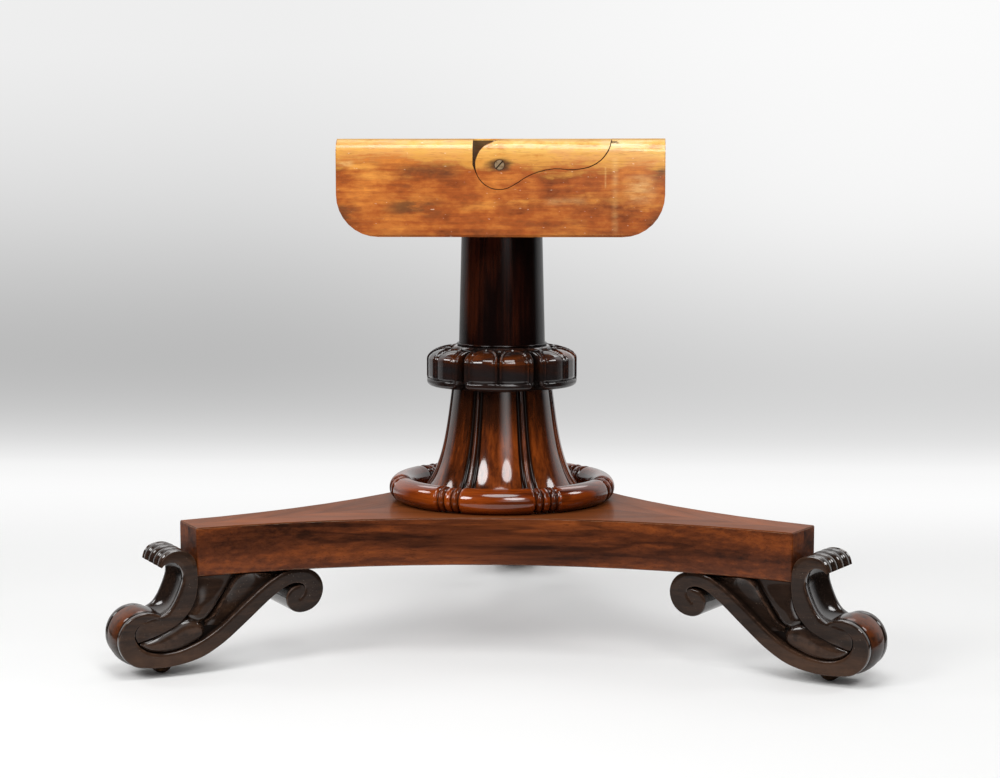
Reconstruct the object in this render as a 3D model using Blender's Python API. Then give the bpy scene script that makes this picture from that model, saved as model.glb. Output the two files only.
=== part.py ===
"""Stand of a tilt-top breakfast table: a three-sided platform on carved scroll feet with sunk
castors, a turned and carved column, and a bearer block with two S-shaped tilt arms.

Metres, +Z up, standing on z = 0. The origin is under the middle of the footprint, and the column
stands at COLUMN_Y on the Y axis. Two feet point to the front (-Y), the third to the rear.
"""

import math

import bmesh
import bpy
from mathutils import Matrix, Vector

# Fits
FIT = 0.0003
RUN = 0.0005
WELD = 0.000001
ROUND = 24

# Heights above the floor
STAND_HEIGHT = 0.690
BLOCK_HEIGHT = 0.130
COLLAR_TOP = 0.4075
COLLAR_HEIGHT = 0.0570
PLATFORM_UNDERSIDE = 0.128
PLATFORM_THICKNESS = 0.0635

# Platform: three arms with hollowed sides between them
ARM_REACH = 0.4585
ARM_END_WIDTH = 0.069
SIDE_HOLLOW = 0.1636
PLATFORM_ARRIS = 0.0015
SIDE_STEPS = 14

# Scroll feet, measured from the platform's end face outwards and from the foot's top upwards
FOOT_THICKNESS = 0.080
TOE_THICKNESS = 0.062
LEAF_ROOT_RISE = 0.022
LEAF_SHOULDER = (0.0062, 0.0315)
LEAF_CROWN = (0.0275, 0.0368)
LEAF_BROW = (0.0425, 0.0318)
LEAF_TIP = (0.0490, 0.0168)
LEAF_LIP = (0.0448, 0.0148)
STEM_NECK = (0.0310, 0.0225)
STEM_THROAT = (0.0222, 0.0150)
STEM_WAIST = (0.0185, 0.0020)
STEM_KNEE = (0.0270, -0.0255)
VOLUTE_OUT = 0.0677
VOLUTE_HEIGHT = 0.0510
VOLUTE_RADIUS = 0.0360
VOLUTE_FROM = 122
VOLUTE_TO = -92
SOLE_HEIGHT = 0.0140
SOLE_OUT = 0.0440
BAND_HEEL = (0.0080, 0.0200)
BAND_LOW = (-0.0230, 0.0325)
BAND_HIGH = (-0.0930, 0.0870)
INNER_SCROLL_IN = 0.1425
INNER_SCROLL_RADIUS = 0.0285
INNER_SCROLL_NOTCH = 22
FIELD_DEPTH = 0.006
FIELD_MARGIN = 0.018
# The ground's height over the band at its heel and its head, in margins
FIELD_HEEL_RISE = 1.35
FIELD_HEAD_RISE = 1.15
FLUTE_HALF_WIDTH = 0.030
FLUTE_DEPTH = 0.009
FLUTE_STEPS = 6

# Foot fastenings
DOWEL_RADIUS = 0.006
DOWEL_IN_FOOT = 0.008
DOWEL_IN_PLATFORM = 0.035
DOWEL_RISE = 0.013
FOOT_SCREW_IN = 0.060
FOOT_SCREW_RADIUS = 0.004
FOOT_SCREW_HEAD = 0.0072
FOOT_SCREW_HEAD_THICK = 0.004
FOOT_SCREW_IN_FOOT = 0.040
FOOT_SCREW_IN_PLATFORM = 0.040

# Sunk castors
CASTOR_OUT = 0.0330
WHEEL_RADIUS = 0.0135
WHEEL_WIDTH = 0.0140
WHEEL_CROWN = 0.0025
CASTOR_TRAIL = 0.0060
AXLE_RADIUS = 0.0020
CHEEK_THICK = 0.0025
CHEEK_RADIUS = 0.0055
CHEEK_FROM = -155
CHEEK_TO = -10
CROWN_THICK = 0.0030
CROWN_HALF_LENGTH = 0.0090
WHEEL_HEADROOM = 0.0080
PLATE_THICK = 0.0025
SWING_CLEARANCE = 0.0025
STUD_RADIUS = 0.0040
STUD_HEAD_RADIUS = 0.0058
STUD_HEAD_THICK = 0.0016
CASTOR_SCREW_RADIUS = 0.0016
CASTOR_SCREW_HEAD = 0.0030
CASTOR_SCREW_HEAD_THICK = 0.0012
CASTOR_SCREW_LENGTH = 0.0130

# Column
SHAFT_TOP_RADIUS = 0.0561
SHAFT_LOW_RADIUS = 0.0598
SHAFT_BEAD_RADIUS = 0.0630
SHAFT_BEAD_HEIGHT = 0.0036
SPIGOT_RADIUS = 0.040
SPIGOT_IN_STEM = 0.050
TENON_RADIUS = 0.030
COLLAR_RADIUS = 0.1060
COLLAR_UNITS = 6
COLLAR_GAP_DEPTH = 0.020
COLLAR_PETAL_GROOVE = 0.004
COLLAR_SHOULDER = 0.024
COLLAR_CORNER = 0.009
# Degrees from the middle of a gap, and the share of the gap's depth there; -1 is a unit's middle
COLLAR_MARKS = [(0, 1.0), (2.2, 1.0), (2.9, 0.35), (5, 0.08), (9, 0), (19, 0), (27.5, 0), (30, -1)]
STEM_TOP_RADIUS = 0.0705
STEM_FOOT_RADIUS = 0.1170
STEM_FOOT_EDGE = 0.007
STEM_PANELS = 7
STEM_GROOVE = 0.0035
STEM_REED = 0.0008
# Degrees from the middle of a reed, and the depth there
STEM_MARKS = [(0, STEM_REED), (1.5, STEM_GROOVE), (6.2, STEM_GROOVE), (7.3, 0), (180 / STEM_PANELS, 0)]
# The flare's two inner curve points: shares of its widening and of its height
STEM_FLARE = [(0.20, 0.50), (0.33, 0.22)]
STEM_FLARE_STEPS = 7
STEM_TENON_RADIUS = 0.036
RING_RADIUS = 0.1413
RING_TUBE = 0.0174
RING_TIES = 7
RING_SIDES = 10
# Degrees from the middle of a tie, and the tube's thickness there
RING_MARKS = [
    (0, 0.86), (1.3, 0.72), (2.1, 0.97), (4.6, 0.97),
    (5.8, 0.74), (7.2, 0.98), (16, 1), (180 / RING_TIES, 1),
]
SHAFT_SIDES = 48

# Tenon wedges
KERF = 0.0044
WEDGE_DEPTH = 0.030
WEDGE_TAPER = 0.0016

# Bearer block and tilt arms
BLOCK_LENGTH = 0.4357
BLOCK_OFFSET = 0.0027
BLOCK_DEPTH = 0.236
BLOCK_LOWER_ROUND = 0.056
BLOCK_UPPER_ROUND = 0.020
BLOCK_ROUND_STEPS = 6
BLOCK_LOWER_ARRIS = 0.003
PIVOT_X = 0.0020
PIVOT_DROP = 0.0348
ARM_THICK = 0.028
KNUCKLE_RADIUS = 0.0322
ARM_LENGTH = 0.148
ARM_TOP_SET = 0.0003
ARM_CLEAR = 0.0008
KNUCKLE_TO = -58
ARM_RISE = (0.0405, -0.0132)
ARM_BELLY = (0.0720, -0.0050)
ARM_DIP = (0.0990, -0.0062)
ARM_TAIL = (0.1270, 0.0015)
ARM_TAIL_TURN = (0.1430, 0.0185)
PIVOT_SHANK_RADIUS = 0.004
PIVOT_SHANK_LENGTH = 0.062
PIVOT_HEAD_RADIUS = 0.0064
PIVOT_HEAD_THICK = 0.0040
SLOT_WIDTH = 0.0016
SLOT_DEPTH = 0.0016
SLOT_TURN = -48
NOTCH_LENGTH = 0.0095
NOTCH_DROP = 0.0054
NOTCH_DEPTH = 0.0120

# Derived places
PLATFORM_TOP = PLATFORM_UNDERSIDE + PLATFORM_THICKNESS
COLLAR_BOTTOM = COLLAR_TOP - COLLAR_HEIGHT
STEM_TOP = COLLAR_BOTTOM - FIT
STEM_BOTTOM = PLATFORM_TOP + FIT
BLOCK_UNDERSIDE = STAND_HEIGHT - BLOCK_HEIGHT
FOOT_BACK = ARM_REACH + FIT
FOOT_TOP = PLATFORM_UNDERSIDE - FIT
FOOT_REACH = FOOT_BACK + VOLUTE_OUT + VOLUTE_RADIUS
FRONT_REACH = FOOT_REACH / 2 + math.sqrt(3) / 4 * TOE_THICKNESS
COLUMN_Y = (FRONT_REACH - FOOT_REACH) / 2
PIVOT_HEIGHT = STAND_HEIGHT - PIVOT_DROP
CASTOR_AT = FOOT_BACK + CASTOR_OUT
HORN_INNER = WHEEL_WIDTH / 2 + RUN
HORN_OUTER = HORN_INNER + CHEEK_THICK
CROWN_UNDERSIDE = 2 * WHEEL_RADIUS + WHEEL_HEADROOM
CROWN_TOP = CROWN_UNDERSIDE + CROWN_THICK
PLATE_UNDERSIDE = CROWN_TOP + FIT
SOCKET_TOP = PLATE_UNDERSIDE + PLATE_THICK + FIT
SOCKET_RADIUS = math.hypot(CASTOR_TRAIL + WHEEL_RADIUS, HORN_OUTER) + SWING_CLEARANCE
PLATE_RADIUS = SOCKET_RADIUS - RUN
CASTOR_SCREW_AT = (math.hypot(CROWN_HALF_LENGTH, HORN_OUTER) + PLATE_RADIUS) / 2
FEET = {"left": 210, "right": -30, "rear": 90}

for thing in list(bpy.data.objects):
    bpy.data.objects.remove(thing, do_unlink=True)

PARTS = bpy.data.collections.new("breakfast_table_stand")
CUTTERS = bpy.data.collections.new("cutters")
for group in (PARTS, CUTTERS):
    bpy.context.scene.collection.children.link(group)


def material(name, colour, roughness, metallic=0.0):
    made = bpy.data.materials.new(name)
    made.use_nodes = True
    shader = made.node_tree.nodes["Principled BSDF"]
    shader.inputs["Base Color"].default_value = (*colour, 1)
    shader.inputs["Roughness"].default_value = roughness
    shader.inputs["Metallic"].default_value = metallic
    return made


ROSEWOOD = ((0.13, 0.045, 0.02), 0.3)
DARK_ROSEWOOD = ((0.05, 0.018, 0.01), 0.3)
PINE = ((0.55, 0.27, 0.09), 0.5)
BEECH = ((0.45, 0.25, 0.11), 0.6)
STEEL = ((0.35, 0.34, 0.33), 0.45, 1.0)
BRASS = ((0.60, 0.42, 0.16), 0.4, 1.0)

AXIS = bpy.data.objects.new("column_axis", None)
AXIS.location = (0, COLUMN_Y, 0)
PARTS.objects.link(AXIS)


def mesh_of(bm, name):
    bmesh.ops.recalc_face_normals(bm, faces=bm.faces)
    mesh = bpy.data.meshes.new(name)
    bm.to_mesh(mesh)
    bm.free()
    return mesh


def place(name, mesh, finish, at=(0, 0, 0), turn=0.0):
    """A finished piece of the stand, placed from the column's axis and turned about Z."""
    thing = bpy.data.objects.new(name, mesh.copy())
    thing.data.materials.clear()
    thing.data.materials.append(material(name, *finish))
    thing.parent = AXIS
    thing.location = at
    thing.rotation_euler = (0, 0, math.radians(turn))
    PARTS.objects.link(thing)
    return thing


def tool(mesh):
    thing = bpy.data.objects.new(f"tool_{mesh.name}", mesh)
    thing.hide_render = True
    thing.display_type = "WIRE"
    CUTTERS.objects.link(thing)
    return thing


def combined(mesh, steps):
    """The mesh after Booleans with each (operation, mesh) in turn."""
    body = tool(mesh)
    for operation, other in steps:
        change = body.modifiers.new(other.name, "BOOLEAN")
        change.operation = operation
        change.solver = "EXACT"
        change.object = tool(other)
    graph = bpy.context.evaluated_depsgraph_get()
    made = bpy.data.meshes.new_from_object(body.evaluated_get(graph))
    bm = bmesh.new()
    bm.from_mesh(made)
    bmesh.ops.remove_doubles(bm, verts=bm.verts, dist=WELD)
    return mesh_of(bm, mesh.name)


def extruded(knots, half, name, resolution=3):
    """A flat outline in XZ made half to each side of the XZ plane. A knot is (x, z) for a smooth
    point, or (x, z, True) for a corner."""
    curve = bpy.data.curves.new(name, "CURVE")
    curve.dimensions = "2D"
    curve.fill_mode = "BOTH"
    curve.extrude = half
    curve.resolution_u = resolution
    spline = curve.splines.new("BEZIER")
    spline.bezier_points.add(len(knots) - 1)
    spline.use_cyclic_u = True
    for point, knot in zip(spline.bezier_points, knots):
        point.co = (knot[0], knot[1], 0)
        kind = "VECTOR" if len(knot) == 3 else "AUTO"
        point.handle_left_type = kind
        point.handle_right_type = kind
    thing = tool_curve(curve)
    bm = bmesh.new()
    bm.from_mesh(thing)
    bmesh.ops.remove_doubles(bm, verts=bm.verts, dist=WELD)
    bmesh.ops.transform(bm, matrix=Matrix.Rotation(math.pi / 2, 4, "X"), verts=bm.verts)
    return mesh_of(bm, name)


def tool_curve(curve):
    holder = bpy.data.objects.new(f"outline_{curve.name}", curve)
    CUTTERS.objects.link(holder)
    holder.hide_render = True
    graph = bpy.context.evaluated_depsgraph_get()
    return bpy.data.meshes.new_from_object(holder.evaluated_get(graph))


def corners(points):
    return [(*point, True) for point in points]


def arc(centre, radius, start, end, count):
    """Knots on a circle from one angle to another, in degrees."""
    angles = [math.radians(start + (end - start) * i / count) for i in range(count + 1)]
    return [(centre[0] + radius * math.cos(a), centre[1] + radius * math.sin(a)) for a in angles]


def spun(profile, steps, closed=True):
    """A profile of (radius, z) points turned about Z."""
    bm = bmesh.new()
    verts = [bm.verts.new((radius, 0, z)) for radius, z in profile]
    ends = verts[1:] + verts[:1] if closed else verts[1:]
    edges = [bm.edges.new(pair) for pair in zip(verts, ends)]
    bmesh.ops.spin(
        bm, geom=verts + edges, cent=(0, 0, 0), axis=(0, 0, 1), angle=math.tau, steps=steps, use_merge=True
    )
    bmesh.ops.remove_doubles(bm, verts=bm.verts, dist=WELD)
    return bm


def cylinder(radius, low, high, name, at=(0, 0), sides=ROUND):
    bm = spun([(0, low), (radius, low), (radius, high), (0, high)], sides, closed=False)
    bmesh.ops.translate(bm, vec=(*at, 0), verts=bm.verts)
    return mesh_of(bm, name)


def around(radius, gap, sides=ROUND):
    """The radius of a faceted hole whose flats clear a round piece by a gap."""
    return (radius + gap) / math.cos(math.pi / sides)


def stepped(tiers, name, at):
    """A cutter that rises from the floor in tiers of (radius, top), widest first."""
    profile = [(0, 0)]
    floor = 0
    for radius, top in tiers:
        profile += [(radius, floor), (radius, top)]
        floor = top
    bm = spun(profile + [(0, floor)], ROUND, closed=False)
    bmesh.ops.translate(bm, vec=(*at, 0), verts=bm.verts)
    return mesh_of(bm, name)


def box(low, high, name):
    bm = bmesh.new()
    bmesh.ops.create_cube(bm, size=1)
    size = Vector(high) - Vector(low)
    bmesh.ops.scale(bm, vec=size, verts=bm.verts)
    bmesh.ops.translate(bm, vec=Vector(low) + size / 2, verts=bm.verts)
    return mesh_of(bm, name)


def turned_mesh(mesh, matrix):
    copy = mesh.copy()
    copy.transform(matrix)
    return copy


def carve(bm, sectors, marks, change):
    """Moves the steps of a spun shape to the marked angles of each sector, then lets change move
    each point. A mark is (degrees from the sector's start, value), up to the sector's middle, and
    the middle of one sector faces the front."""
    width = 360 / sectors
    mirrored = [(width - angle, value) for angle, value in reversed(marks[1:-1])]
    ring = [(s * width + angle, value) for s in range(sectors) for angle, value in marks + mirrored]
    for vert in bm.verts:
        angle = math.degrees(math.atan2(vert.co.y, vert.co.x)) % 360
        step = round(angle * len(ring) / 360) % len(ring)
        radius, z = change(math.hypot(vert.co.x, vert.co.y), vert.co.z, ring[step][1])
        turn = math.radians(ring[step][0] - 90 - width / 2)
        vert.co = (radius * math.cos(turn), radius * math.sin(turn), z)


def ring_steps(sectors, marks):
    return sectors * (2 * len(marks) - 2)


def platform():
    half = ARM_END_WIDTH / 2
    across = Vector((ARM_REACH * math.cos(math.radians(30)) - half / 2, 0))
    across.y = -ARM_REACH / 2 - half * math.cos(math.radians(30))
    rise = -SIDE_HOLLOW - across.y
    radius = (across.x**2 + rise**2) / (2 * rise)
    sweep = math.degrees(math.asin(across.x / radius))
    side = arc((0, -SIDE_HOLLOW - radius), radius, 90 + sweep, 90 - sweep, SIDE_STEPS)
    outline = []
    for turn in (0, 120, 240):
        spin = Matrix.Rotation(math.radians(turn), 2)
        outline += [tuple(spin @ Vector(point)) for point in side]
    bm = bmesh.new()
    face = bm.faces.new([bm.verts.new((x, y, PLATFORM_UNDERSIDE)) for x, y in outline])
    rim = bmesh.ops.extrude_face_region(bm, geom=[face])["geom"]
    top = [part for part in rim if isinstance(part, bmesh.types.BMVert)]
    bmesh.ops.translate(bm, vec=(0, 0, PLATFORM_THICKNESS), verts=top)
    flat = [edge for edge in bm.edges if edge.verts[0].co.z == edge.verts[1].co.z]
    bmesh.ops.bevel(bm, geom=flat, offset=PLATFORM_ARRIS, segments=1, profile=0.5, affect="EDGES")
    body = mesh_of(bm, "platform")
    cuts = [cylinder(around(STEM_TENON_RADIUS, FIT), 0, PLATFORM_TOP + FIT * 2, "stem_hole")]
    for turn in FEET.values():
        spin = Matrix.Rotation(math.radians(turn), 4, "Z")
        pocket = ARM_REACH - DOWEL_IN_PLATFORM - FIT
        width = around(DOWEL_RADIUS, FIT, ROUND // 2)
        dowel = lying(width, pocket, ARM_REACH + FIT, FOOT_TOP + DOWEL_RISE, "dowel_hole")
        screw = cylinder(
            around(FOOT_SCREW_RADIUS, FIT),
            0,
            PLATFORM_UNDERSIDE + FOOT_SCREW_IN_PLATFORM + FIT,
            "screw_hole",
            (FOOT_BACK - FOOT_SCREW_IN, 0),
        )
        cuts += [turned_mesh(dowel, spin), turned_mesh(screw, spin)]
    return combined(body, [("DIFFERENCE", cut) for cut in cuts])


def lying(radius, start, end, height, name):
    """A cylinder along X at a height."""
    rod = cylinder(radius, start, end, name, sides=ROUND // 2)
    rod.transform(Matrix.Translation((0, 0, height)) @ Matrix.Rotation(math.pi / 2, 4, "Y"))
    return rod


def foot_point(spot):
    return (FOOT_BACK + spot[0], FOOT_TOP + spot[1])


def sole_point(spot):
    return (FOOT_BACK + spot[0], spot[1])


def foot_toe(bm):
    """Narrows the foot from the platform's end face to the toe, below the waist."""
    waist = FOOT_TOP + STEM_WAIST[1]
    for vert in bm.verts:
        out = min(max((vert.co.x - FOOT_BACK) / (VOLUTE_OUT + VOLUTE_RADIUS), 0), 1)
        down = min(max((waist - vert.co.z) / (waist - VOLUTE_HEIGHT), 0), 1)
        vert.co.y *= 1 - (1 - TOE_THICKNESS / FOOT_THICKNESS) * out * down


def foot():
    volute = (FOOT_BACK + VOLUTE_OUT, VOLUTE_HEIGHT)
    scroll = (FOOT_BACK - INNER_SCROLL_IN, FOOT_TOP - INNER_SCROLL_RADIUS)
    curl = arc(scroll, INNER_SCROLL_RADIUS, INNER_SCROLL_NOTCH, -270, 7)
    outline = corners([(FOOT_BACK, FOOT_TOP), (FOOT_BACK, FOOT_TOP + LEAF_ROOT_RISE)])
    outline += [foot_point(p) for p in (LEAF_SHOULDER, LEAF_CROWN, LEAF_BROW)]
    outline += corners([foot_point(LEAF_TIP), foot_point(LEAF_LIP)])
    outline += [foot_point(p) for p in (STEM_NECK, STEM_THROAT, STEM_WAIST, STEM_KNEE)]
    rim = arc(volute, VOLUTE_RADIUS, VOLUTE_FROM, VOLUTE_TO, 6)
    outline += corners(rim[:1]) + rim[1:]
    outline += [(FOOT_BACK + SOLE_OUT, SOLE_HEIGHT), sole_point(BAND_HEEL), sole_point(BAND_LOW)]
    outline += corners([sole_point(BAND_HIGH)])
    outline += corners(curl[:1]) + curl[1:-1] + corners(curl[-1:])
    body = extruded(outline, FOOT_THICKNESS / 2, "foot")
    bm = bmesh.new()
    bm.from_mesh(body)
    foot_toe(bm)
    body = mesh_of(bm, "foot")
    socket = (CASTOR_AT, 0)
    stud = SOCKET_TOP + STUD_HEAD_THICK + 2 * FIT
    seat = FOOT_TOP - FOOT_SCREW_IN_FOOT
    dowel_end = FOOT_BACK + DOWEL_IN_FOOT + FIT
    screw = (FOOT_BACK - FOOT_SCREW_IN, 0)
    dowel = around(DOWEL_RADIUS, FIT, ROUND // 2)
    sunk = [(around(PLATE_RADIUS, RUN), SOCKET_TOP), (around(STUD_HEAD_RADIUS, RUN), stud)]
    driven = [(around(FOOT_SCREW_HEAD, FIT), seat), (around(FOOT_SCREW_RADIUS, FIT), PLATFORM_TOP)]
    cuts = [
        field(1),
        field(-1),
        flute(),
        stepped(sunk, "socket", socket),
        lying(dowel, FOOT_BACK - FIT, dowel_end, FOOT_TOP + DOWEL_RISE, "dowel_hole"),
        stepped(driven, "screw_hole", screw),
    ]
    for y in (-CASTOR_SCREW_AT, CASTOR_SCREW_AT):
        top = PLATE_UNDERSIDE + CASTOR_SCREW_LENGTH + FIT
        radius = around(CASTOR_SCREW_RADIUS, FIT, ROUND // 4)
        hole = cylinder(radius, PLATE_UNDERSIDE, top, "castor_screw_hole", (CASTOR_AT, y), ROUND // 4)
        cuts.append(hole)
    return combined(body, [("DIFFERENCE", cut) for cut in cuts])


def field(side):
    """The sunk ground of one side face, between the band, the stem and the platform."""
    inner = VOLUTE_RADIUS - FIELD_MARGIN
    volute = (FOOT_BACK + VOLUTE_OUT, VOLUTE_HEIGHT)
    knots = corners([(FOOT_BACK - FIELD_MARGIN / 6, FOOT_TOP - FIELD_MARGIN / 4)])
    knots += [
        (FOOT_BACK + FIELD_MARGIN / 6, FOOT_TOP - FIELD_MARGIN),
        (FOOT_BACK + FIELD_MARGIN, (FOOT_TOP + VOLUTE_HEIGHT) / 2 - FIELD_MARGIN / 2),
        (FOOT_BACK + VOLUTE_OUT - inner, VOLUTE_HEIGHT + inner / 2),
    ]
    knots += arc(volute, inner, 60, -80, 4)
    knots += [
        (FOOT_BACK + SOLE_OUT / 2, SOLE_HEIGHT + FIELD_MARGIN),
        (FOOT_BACK + BAND_HEEL[0] - FIELD_MARGIN, BAND_HEEL[1] + FIELD_MARGIN * FIELD_HEEL_RISE),
    ]
    head = (FOOT_BACK + BAND_HIGH[0] + FIELD_MARGIN, BAND_HIGH[1] + FIELD_MARGIN * FIELD_HEAD_RISE)
    knots += corners([head])
    knots += corners([(FOOT_BACK + BAND_HIGH[0], FOOT_TOP - FIELD_MARGIN / 4)])
    ground = extruded(knots, FOOT_THICKNESS / 2, "field")
    ground.transform(Matrix.Translation((0, side * (FOOT_THICKNESS - FIELD_DEPTH), 0)))
    return ground


def through(knots, share):
    """A point and its slope on a smooth curve through the knots, at a share of its length."""
    spot = min(share * (len(knots) - 1), len(knots) - 1 - WELD)
    i = int(spot)
    t = spot - i
    ends = [Vector(knots[min(max(k, 0), len(knots) - 1)]) for k in (i - 1, i, i + 1, i + 2)]
    bends = ((ends[2] - ends[0]) / 2, (ends[3] - ends[1]) / 2)
    cubic = 2 * (ends[1] - ends[2]) + bends[0] + bends[1]
    square = 3 * (ends[2] - ends[1]) - 2 * bends[0] - bends[1]
    point = ends[1] + bends[0] * t + square * t**2 + cubic * t**3
    return point, bends[0] + 2 * square * t + 3 * cubic * t**2


def flute():
    """The hollow down the front of the stem, deepest in its middle and fading to both ends."""
    toe = math.radians(VOLUTE_FROM)
    landing = (VOLUTE_OUT + VOLUTE_RADIUS * math.cos(toe), VOLUTE_HEIGHT + VOLUTE_RADIUS * math.sin(toe))
    knots = [foot_point(STEM_THROAT), foot_point(STEM_WAIST), foot_point(STEM_KNEE), sole_point(landing)]
    bm = bmesh.new()
    bmesh.ops.create_grid(bm, x_segments=FLUTE_STEPS, y_segments=FLUTE_STEPS, size=0.5)
    raised = bmesh.ops.extrude_face_region(bm, geom=bm.faces[:])["geom"]
    bmesh.ops.translate(bm, vec=(0, 0, 1), verts=[v for v in raised if isinstance(v, bmesh.types.BMVert)])
    for vert in bm.verts:
        along, across, outside = vert.co.x + 0.5, 2 * vert.co.y, vert.co.z > 0.5
        point, slope = through(knots, along)
        air = Vector((-slope.y, slope.x)).normalized()
        depth = FLUTE_DEPTH * math.sin(math.pi * along) ** 0.6 * (1 - across**2) if 0 < along < 1 else 0
        point += air * (FLUTE_DEPTH / 2 if outside else RUN - depth)
        vert.co = (point.x, across * FLUTE_HALF_WIDTH, point.y)
    return mesh_of(bm, "flute")


def castor_plate():
    stud = around(STUD_RADIUS, FIT, ROUND // 2)
    holes = [("DIFFERENCE", cylinder(stud, 0, SOCKET_TOP, "stud_hole", sides=ROUND // 2))]
    for y in (-CASTOR_SCREW_AT, CASTOR_SCREW_AT):
        radius = around(CASTOR_SCREW_RADIUS, FIT, ROUND // 4)
        hole = cylinder(radius, 0, SOCKET_TOP, "screw_hole", (0, y), ROUND // 4)
        holes.append(("DIFFERENCE", hole))
    disc = cylinder(PLATE_RADIUS, PLATE_UNDERSIDE, PLATE_UNDERSIDE + PLATE_THICK, "castor_plate")
    return combined(disc, holes)


def castor_horn():
    """A bent strap with two cheeks, and the riveted stud that it swivels on."""
    low = WHEEL_RADIUS - CHEEK_RADIUS
    strap = corners(
        [
            (-HORN_OUTER, low),
            (-HORN_OUTER, CROWN_TOP),
            (HORN_OUTER, CROWN_TOP),
            (HORN_OUTER, low),
            (HORN_INNER, low),
            (HORN_INNER, CROWN_UNDERSIDE),
            (-HORN_INNER, CROWN_UNDERSIDE),
            (-HORN_INNER, low),
        ]
    )
    body = extruded(strap, CASTOR_TRAIL + WHEEL_RADIUS, "castor_horn")
    body.transform(Matrix.Rotation(math.pi / 2, 4, "Z"))
    cheek = corners([(-CROWN_HALF_LENGTH, CROWN_TOP + FIT), (-CROWN_HALF_LENGTH, CROWN_UNDERSIDE)])
    cheek += corners(arc((CASTOR_TRAIL, WHEEL_RADIUS), CHEEK_RADIUS, CHEEK_FROM, CHEEK_TO, 6))
    cheek += corners([(CROWN_HALF_LENGTH + CASTOR_TRAIL / 3, CROWN_UNDERSIDE)])
    cheek += corners([(CROWN_HALF_LENGTH + CASTOR_TRAIL / 3, CROWN_TOP + FIT)])
    side = extruded(cheek, HORN_OUTER + FIT, "cheek")
    plate_top = PLATE_UNDERSIDE + PLATE_THICK
    root = CROWN_UNDERSIDE + CROWN_THICK / 2
    clear = plate_top + FIT
    stud = cylinder(STUD_RADIUS, root, clear + FIT, "stud", sides=ROUND // 2)
    head = cylinder(STUD_HEAD_RADIUS, clear, clear + STUD_HEAD_THICK, "stud_head", sides=ROUND // 2)
    axle = axle_rod(around(AXLE_RADIUS, FIT, ROUND // 2), HORN_OUTER + FIT, "axle_hole")
    return combined(body, [("INTERSECT", side), ("DIFFERENCE", axle), ("UNION", stud), ("UNION", head)])


def axle_rod(radius, half, name):
    rod = cylinder(radius, -half, half, name, sides=ROUND // 2)
    hub = Matrix.Translation((CASTOR_TRAIL, 0, WHEEL_RADIUS))
    rod.transform(hub @ Matrix.Rotation(math.pi / 2, 4, "X"))
    return rod


def castor_wheel():
    half = WHEEL_WIDTH / 2
    bore = around(AXLE_RADIUS, FIT)
    edge = WHEEL_RADIUS - WHEEL_CROWN
    profile = [(bore, half), (edge, half), (WHEEL_RADIUS, half - WHEEL_CROWN)]
    profile += [(radius, -z) for radius, z in reversed(profile)]
    wheel = mesh_of(spun(profile, ROUND), "castor_wheel")
    wheel.transform(Matrix.Rotation(math.pi / 2, 4, "X"))
    return wheel


def headed(radius, length, head_radius, head_thick, name, sides=ROUND // 2):
    """A screw with its head's underside at z = 0 and its shank along +Z."""
    point = radius / 2
    profile = [(0, -head_thick), (head_radius, -head_thick), (head_radius, 0), (radius, 0)]
    profile += [(radius, length - 2 * radius), (point, length), (0, length)]
    return mesh_of(spun(profile, sides, closed=False), name)


def shaft():
    bead = SHAFT_BEAD_HEIGHT
    foot_z = COLLAR_TOP + FIT
    top = BLOCK_UNDERSIDE - FIT
    spigot = STEM_TOP - SPIGOT_IN_STEM
    tenon = STAND_HEIGHT - FIT
    profile = [(0, spigot), (SPIGOT_RADIUS, spigot), (SPIGOT_RADIUS, foot_z), (SHAFT_BEAD_RADIUS, foot_z)]
    profile += [(SHAFT_BEAD_RADIUS, foot_z + bead / 2), (SHAFT_LOW_RADIUS + bead / 3, foot_z + bead)]
    profile += [(SHAFT_LOW_RADIUS, foot_z + 2 * bead), (SHAFT_TOP_RADIUS, top)]
    profile += [(TENON_RADIUS, top), (TENON_RADIUS, tenon), (0, tenon)]
    body = mesh_of(spun(profile, SHAFT_SIDES, closed=False), "column_shaft")
    return combined(body, [("DIFFERENCE", kerf(tenon - WEDGE_DEPTH, tenon + FIT, TENON_RADIUS))])


def kerf(low, high, radius):
    return box((-radius * 1.2, -KERF / 2, low), (radius * 1.2, KERF / 2, high), "kerf")


def wedge(low, high, radius, name, thin):
    """A tapered wedge in a tenon's kerf, thin at the end named by thin."""
    half = KERF / 2 - FIT
    reach = math.sqrt(radius**2 - half**2) - FIT
    blade = box((-reach, -half, low), (reach, half, high), name)
    bm = bmesh.new()
    bm.from_mesh(blade)
    for vert in bm.verts:
        if abs(vert.co.z - (low if thin == "low" else high)) < WELD:
            vert.co.y *= 1 - WEDGE_TAPER / KERF
    return mesh_of(bm, name)


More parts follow.
